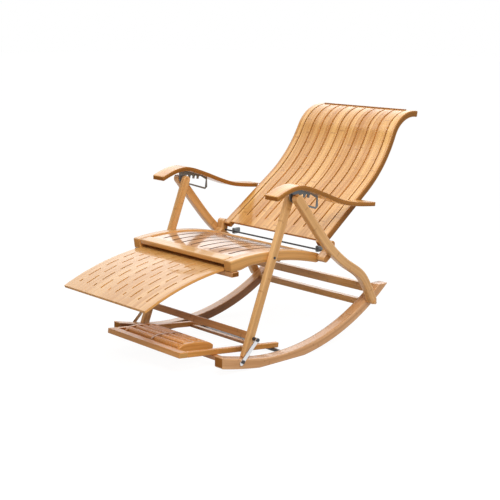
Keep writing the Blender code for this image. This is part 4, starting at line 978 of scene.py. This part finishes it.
# The rear bar and the divider take the darker bamboo that is partly painted shade.
rail("tray_rear_bar", tray_point(REAR_BAR_Q + TRAY_BAR / 2, REAR_BAR_HEIGHT / 2), (TRAY_BAR, REAR_BAR_HEIGHT),
     -TRAY_SLOPE, RAIL_EDGE, DARKER_STOCK_AND_PAINTED_SHADE)
plate_line = tray_line(FRONT_DEPTH + TRAY_GAP, ARCH_END_Q)
plate_top = arch(np.linspace(FRONT_DEPTH + TRAY_GAP, ARCH_END_Q, len(plate_line)))
for node, look in zip(("roller_divider", "roller_end_plate_left", "roller_end_plate_right"),
                      (DARKER_STOCK_AND_PAINTED_SHADE, ROLLER, ROLLER)):
    bar(node, plate_line, 0.0, plate_top, 0.0018, look, cut=0.25)
for side in SIDES:
    bar(f"tray_rail_{side}", tray_line(FRONT_DEPTH + TRAY_GAP, TRAY_LENGTH), 0.0, TRAY_HEIGHT, RAIL_EDGE,
        ROLLER, cut=0.5)
print("tray", TRAY_LENGTH, "long")


# %% Rollers
ACROSS, UPRIGHT = np.array([[1, 0, 0], [0, 1, 0], [0, 0, -1]]), np.array([[0, 0, 1], [1, 0, 0], [0, -1, 0]])


def turned(node, profile, centre, look, sides, axes=ACROSS, name=None):
    """Solid of revolution: each (distance, radius) becomes a ring round the first axis through the centre."""
    profile = np.asarray(profile, float)
    angle = np.linspace(0, math.tau, sides, endpoint=False)
    spokes = np.cos(angle)[:, None] * axes[1] + np.sin(angle)[:, None] * axes[2]
    rings = profile[:, 0, None, None] * axes[0] + profile[:, 1, None, None] * spokes
    rings = rings + np.asarray(centre) - [0.0, SHIFT, 0.0]
    piece = skin(name or f"{node}_shaped", rings, travelled(profile), np.zeros(sides), look, node)
    piece.data.set_sharp_from_angle(angle=math.radians(40))
    return piece


RIBS, GROOVE, JOURNAL, JOURNAL_END = 10, 0.0014, 0.0035, 0.0110
BANK_START, DIVIDER_GAP = 0.0055, 0.0005
bank_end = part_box("roller_end_plate_left")[0].x - DIVIDER_GAP
rib_x = np.linspace(BANK_START, bank_end, 24 * RIBS + 1)
wave = np.abs(np.sin(RIBS * math.pi * (rib_x - BANK_START) / (bank_end - BANK_START))) ** 0.35
ribbed = np.stack([rib_x, ROLLER_RADIUS - GROOVE * (1 - wave)], 1)
roller_profile = np.vstack([[DIVIDER_GAP, JOURNAL], [BANK_START, JOURNAL], ribbed, [bank_end, JOURNAL],
                            [bank_end + JOURNAL_END, JOURNAL]])
mirrored_profile = roller_profile[::-1] * [-1, 1]
for side, profile in zip(SIDES, (roller_profile, mirrored_profile)):
    for i in range(ROLLERS):
        node = f"roller_{side}_{i + 1}"
        q = FIRST_Q + i * PITCH
        axis = tray_point(q, arch(q) - ROLLER_RADIUS - TRAY_GAP)
        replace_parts(turned(node, profile, (0.0, *axis), ROLLER, 24), node)
print("rollers", 2 * ROLLERS)

# %% [markdown]
# ## Plugs and bolts
# A dark plug closes the screw hole at each front corner of the seat frame, and a small black bolt holds the
# seat in each front leg.  Both are turned too.

# %% Screw plugs and seat bolts
PLUG = ((-0.002, 0.003), (0.0002, 0.003), (0.0005, 0.0026), (0.0006, 0.0014))
PLUG_X, PLUG_Y, BOLT_RADIUS, BOLT_CHAMFER = 0.209, 0.090, 0.0042, 0.0008
for side, sign in zip(SIDES, (1, -1)):
    turned("seat_front_rail", PLUG, (sign * PLUG_X, PLUG_Y, seat_height(PLUG_Y)), DARKER_STOCK_AND_PAINTED_SHADE, 16, UPRIGHT,
           f"seat_screw_plug_{side}")
for side, sign in zip(SIDES, (1, -1)):
    lower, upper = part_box(f"seat_bolt_{side}")
    start, stop = np.sort(np.abs([lower.x, upper.x]))
    bolt = np.array([(start, BOLT_RADIUS), (stop - BOLT_CHAMFER, BOLT_RADIUS), (stop, 0.6 * BOLT_RADIUS)])
    bolt = bolt if sign > 0 else bolt[::-1] * [-1, 1]
    middle = (0.0, (lower.y + upper.y) / 2 + SHIFT, (lower.z + upper.z) / 2)
    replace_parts(turned(f"seat_bolt_{side}", bolt, middle, BLACK, 16), f"seat_bolt_{side}")
print("plugs and bolts", 2 * len(SIDES))

# %% [markdown]
# ## Steel that stays
# The plates, links, pins and rods already have their shape in the frame.  They only need their finish.  The
# bolt through a rear leg's foot is hidden by a wooden plug, so it gets the wood's.

# %% Finishes of the remaining CAD nodes
LOOK_OF = {"notch_plate": PLATE_PAINTED_SHADE, "seat_rod": BLACK, "tray_rest_bar": BLACK, "link_rod": BLACK,
           "link_stud": BLACK, "rear_leg_bolt": HONEY}
shown = {node: piece for node, piece in frame["nodes"].items() if not piece.hide_render}
for node, piece in shown.items():
    fitting = [look for start, look in LOOK_OF.items() if node.startswith(start)]
    piece.data.materials.clear()
    piece.data.materials.append(fitting[0] if fitting else ZINC)
print("CAD nodes still shown", len(shown))
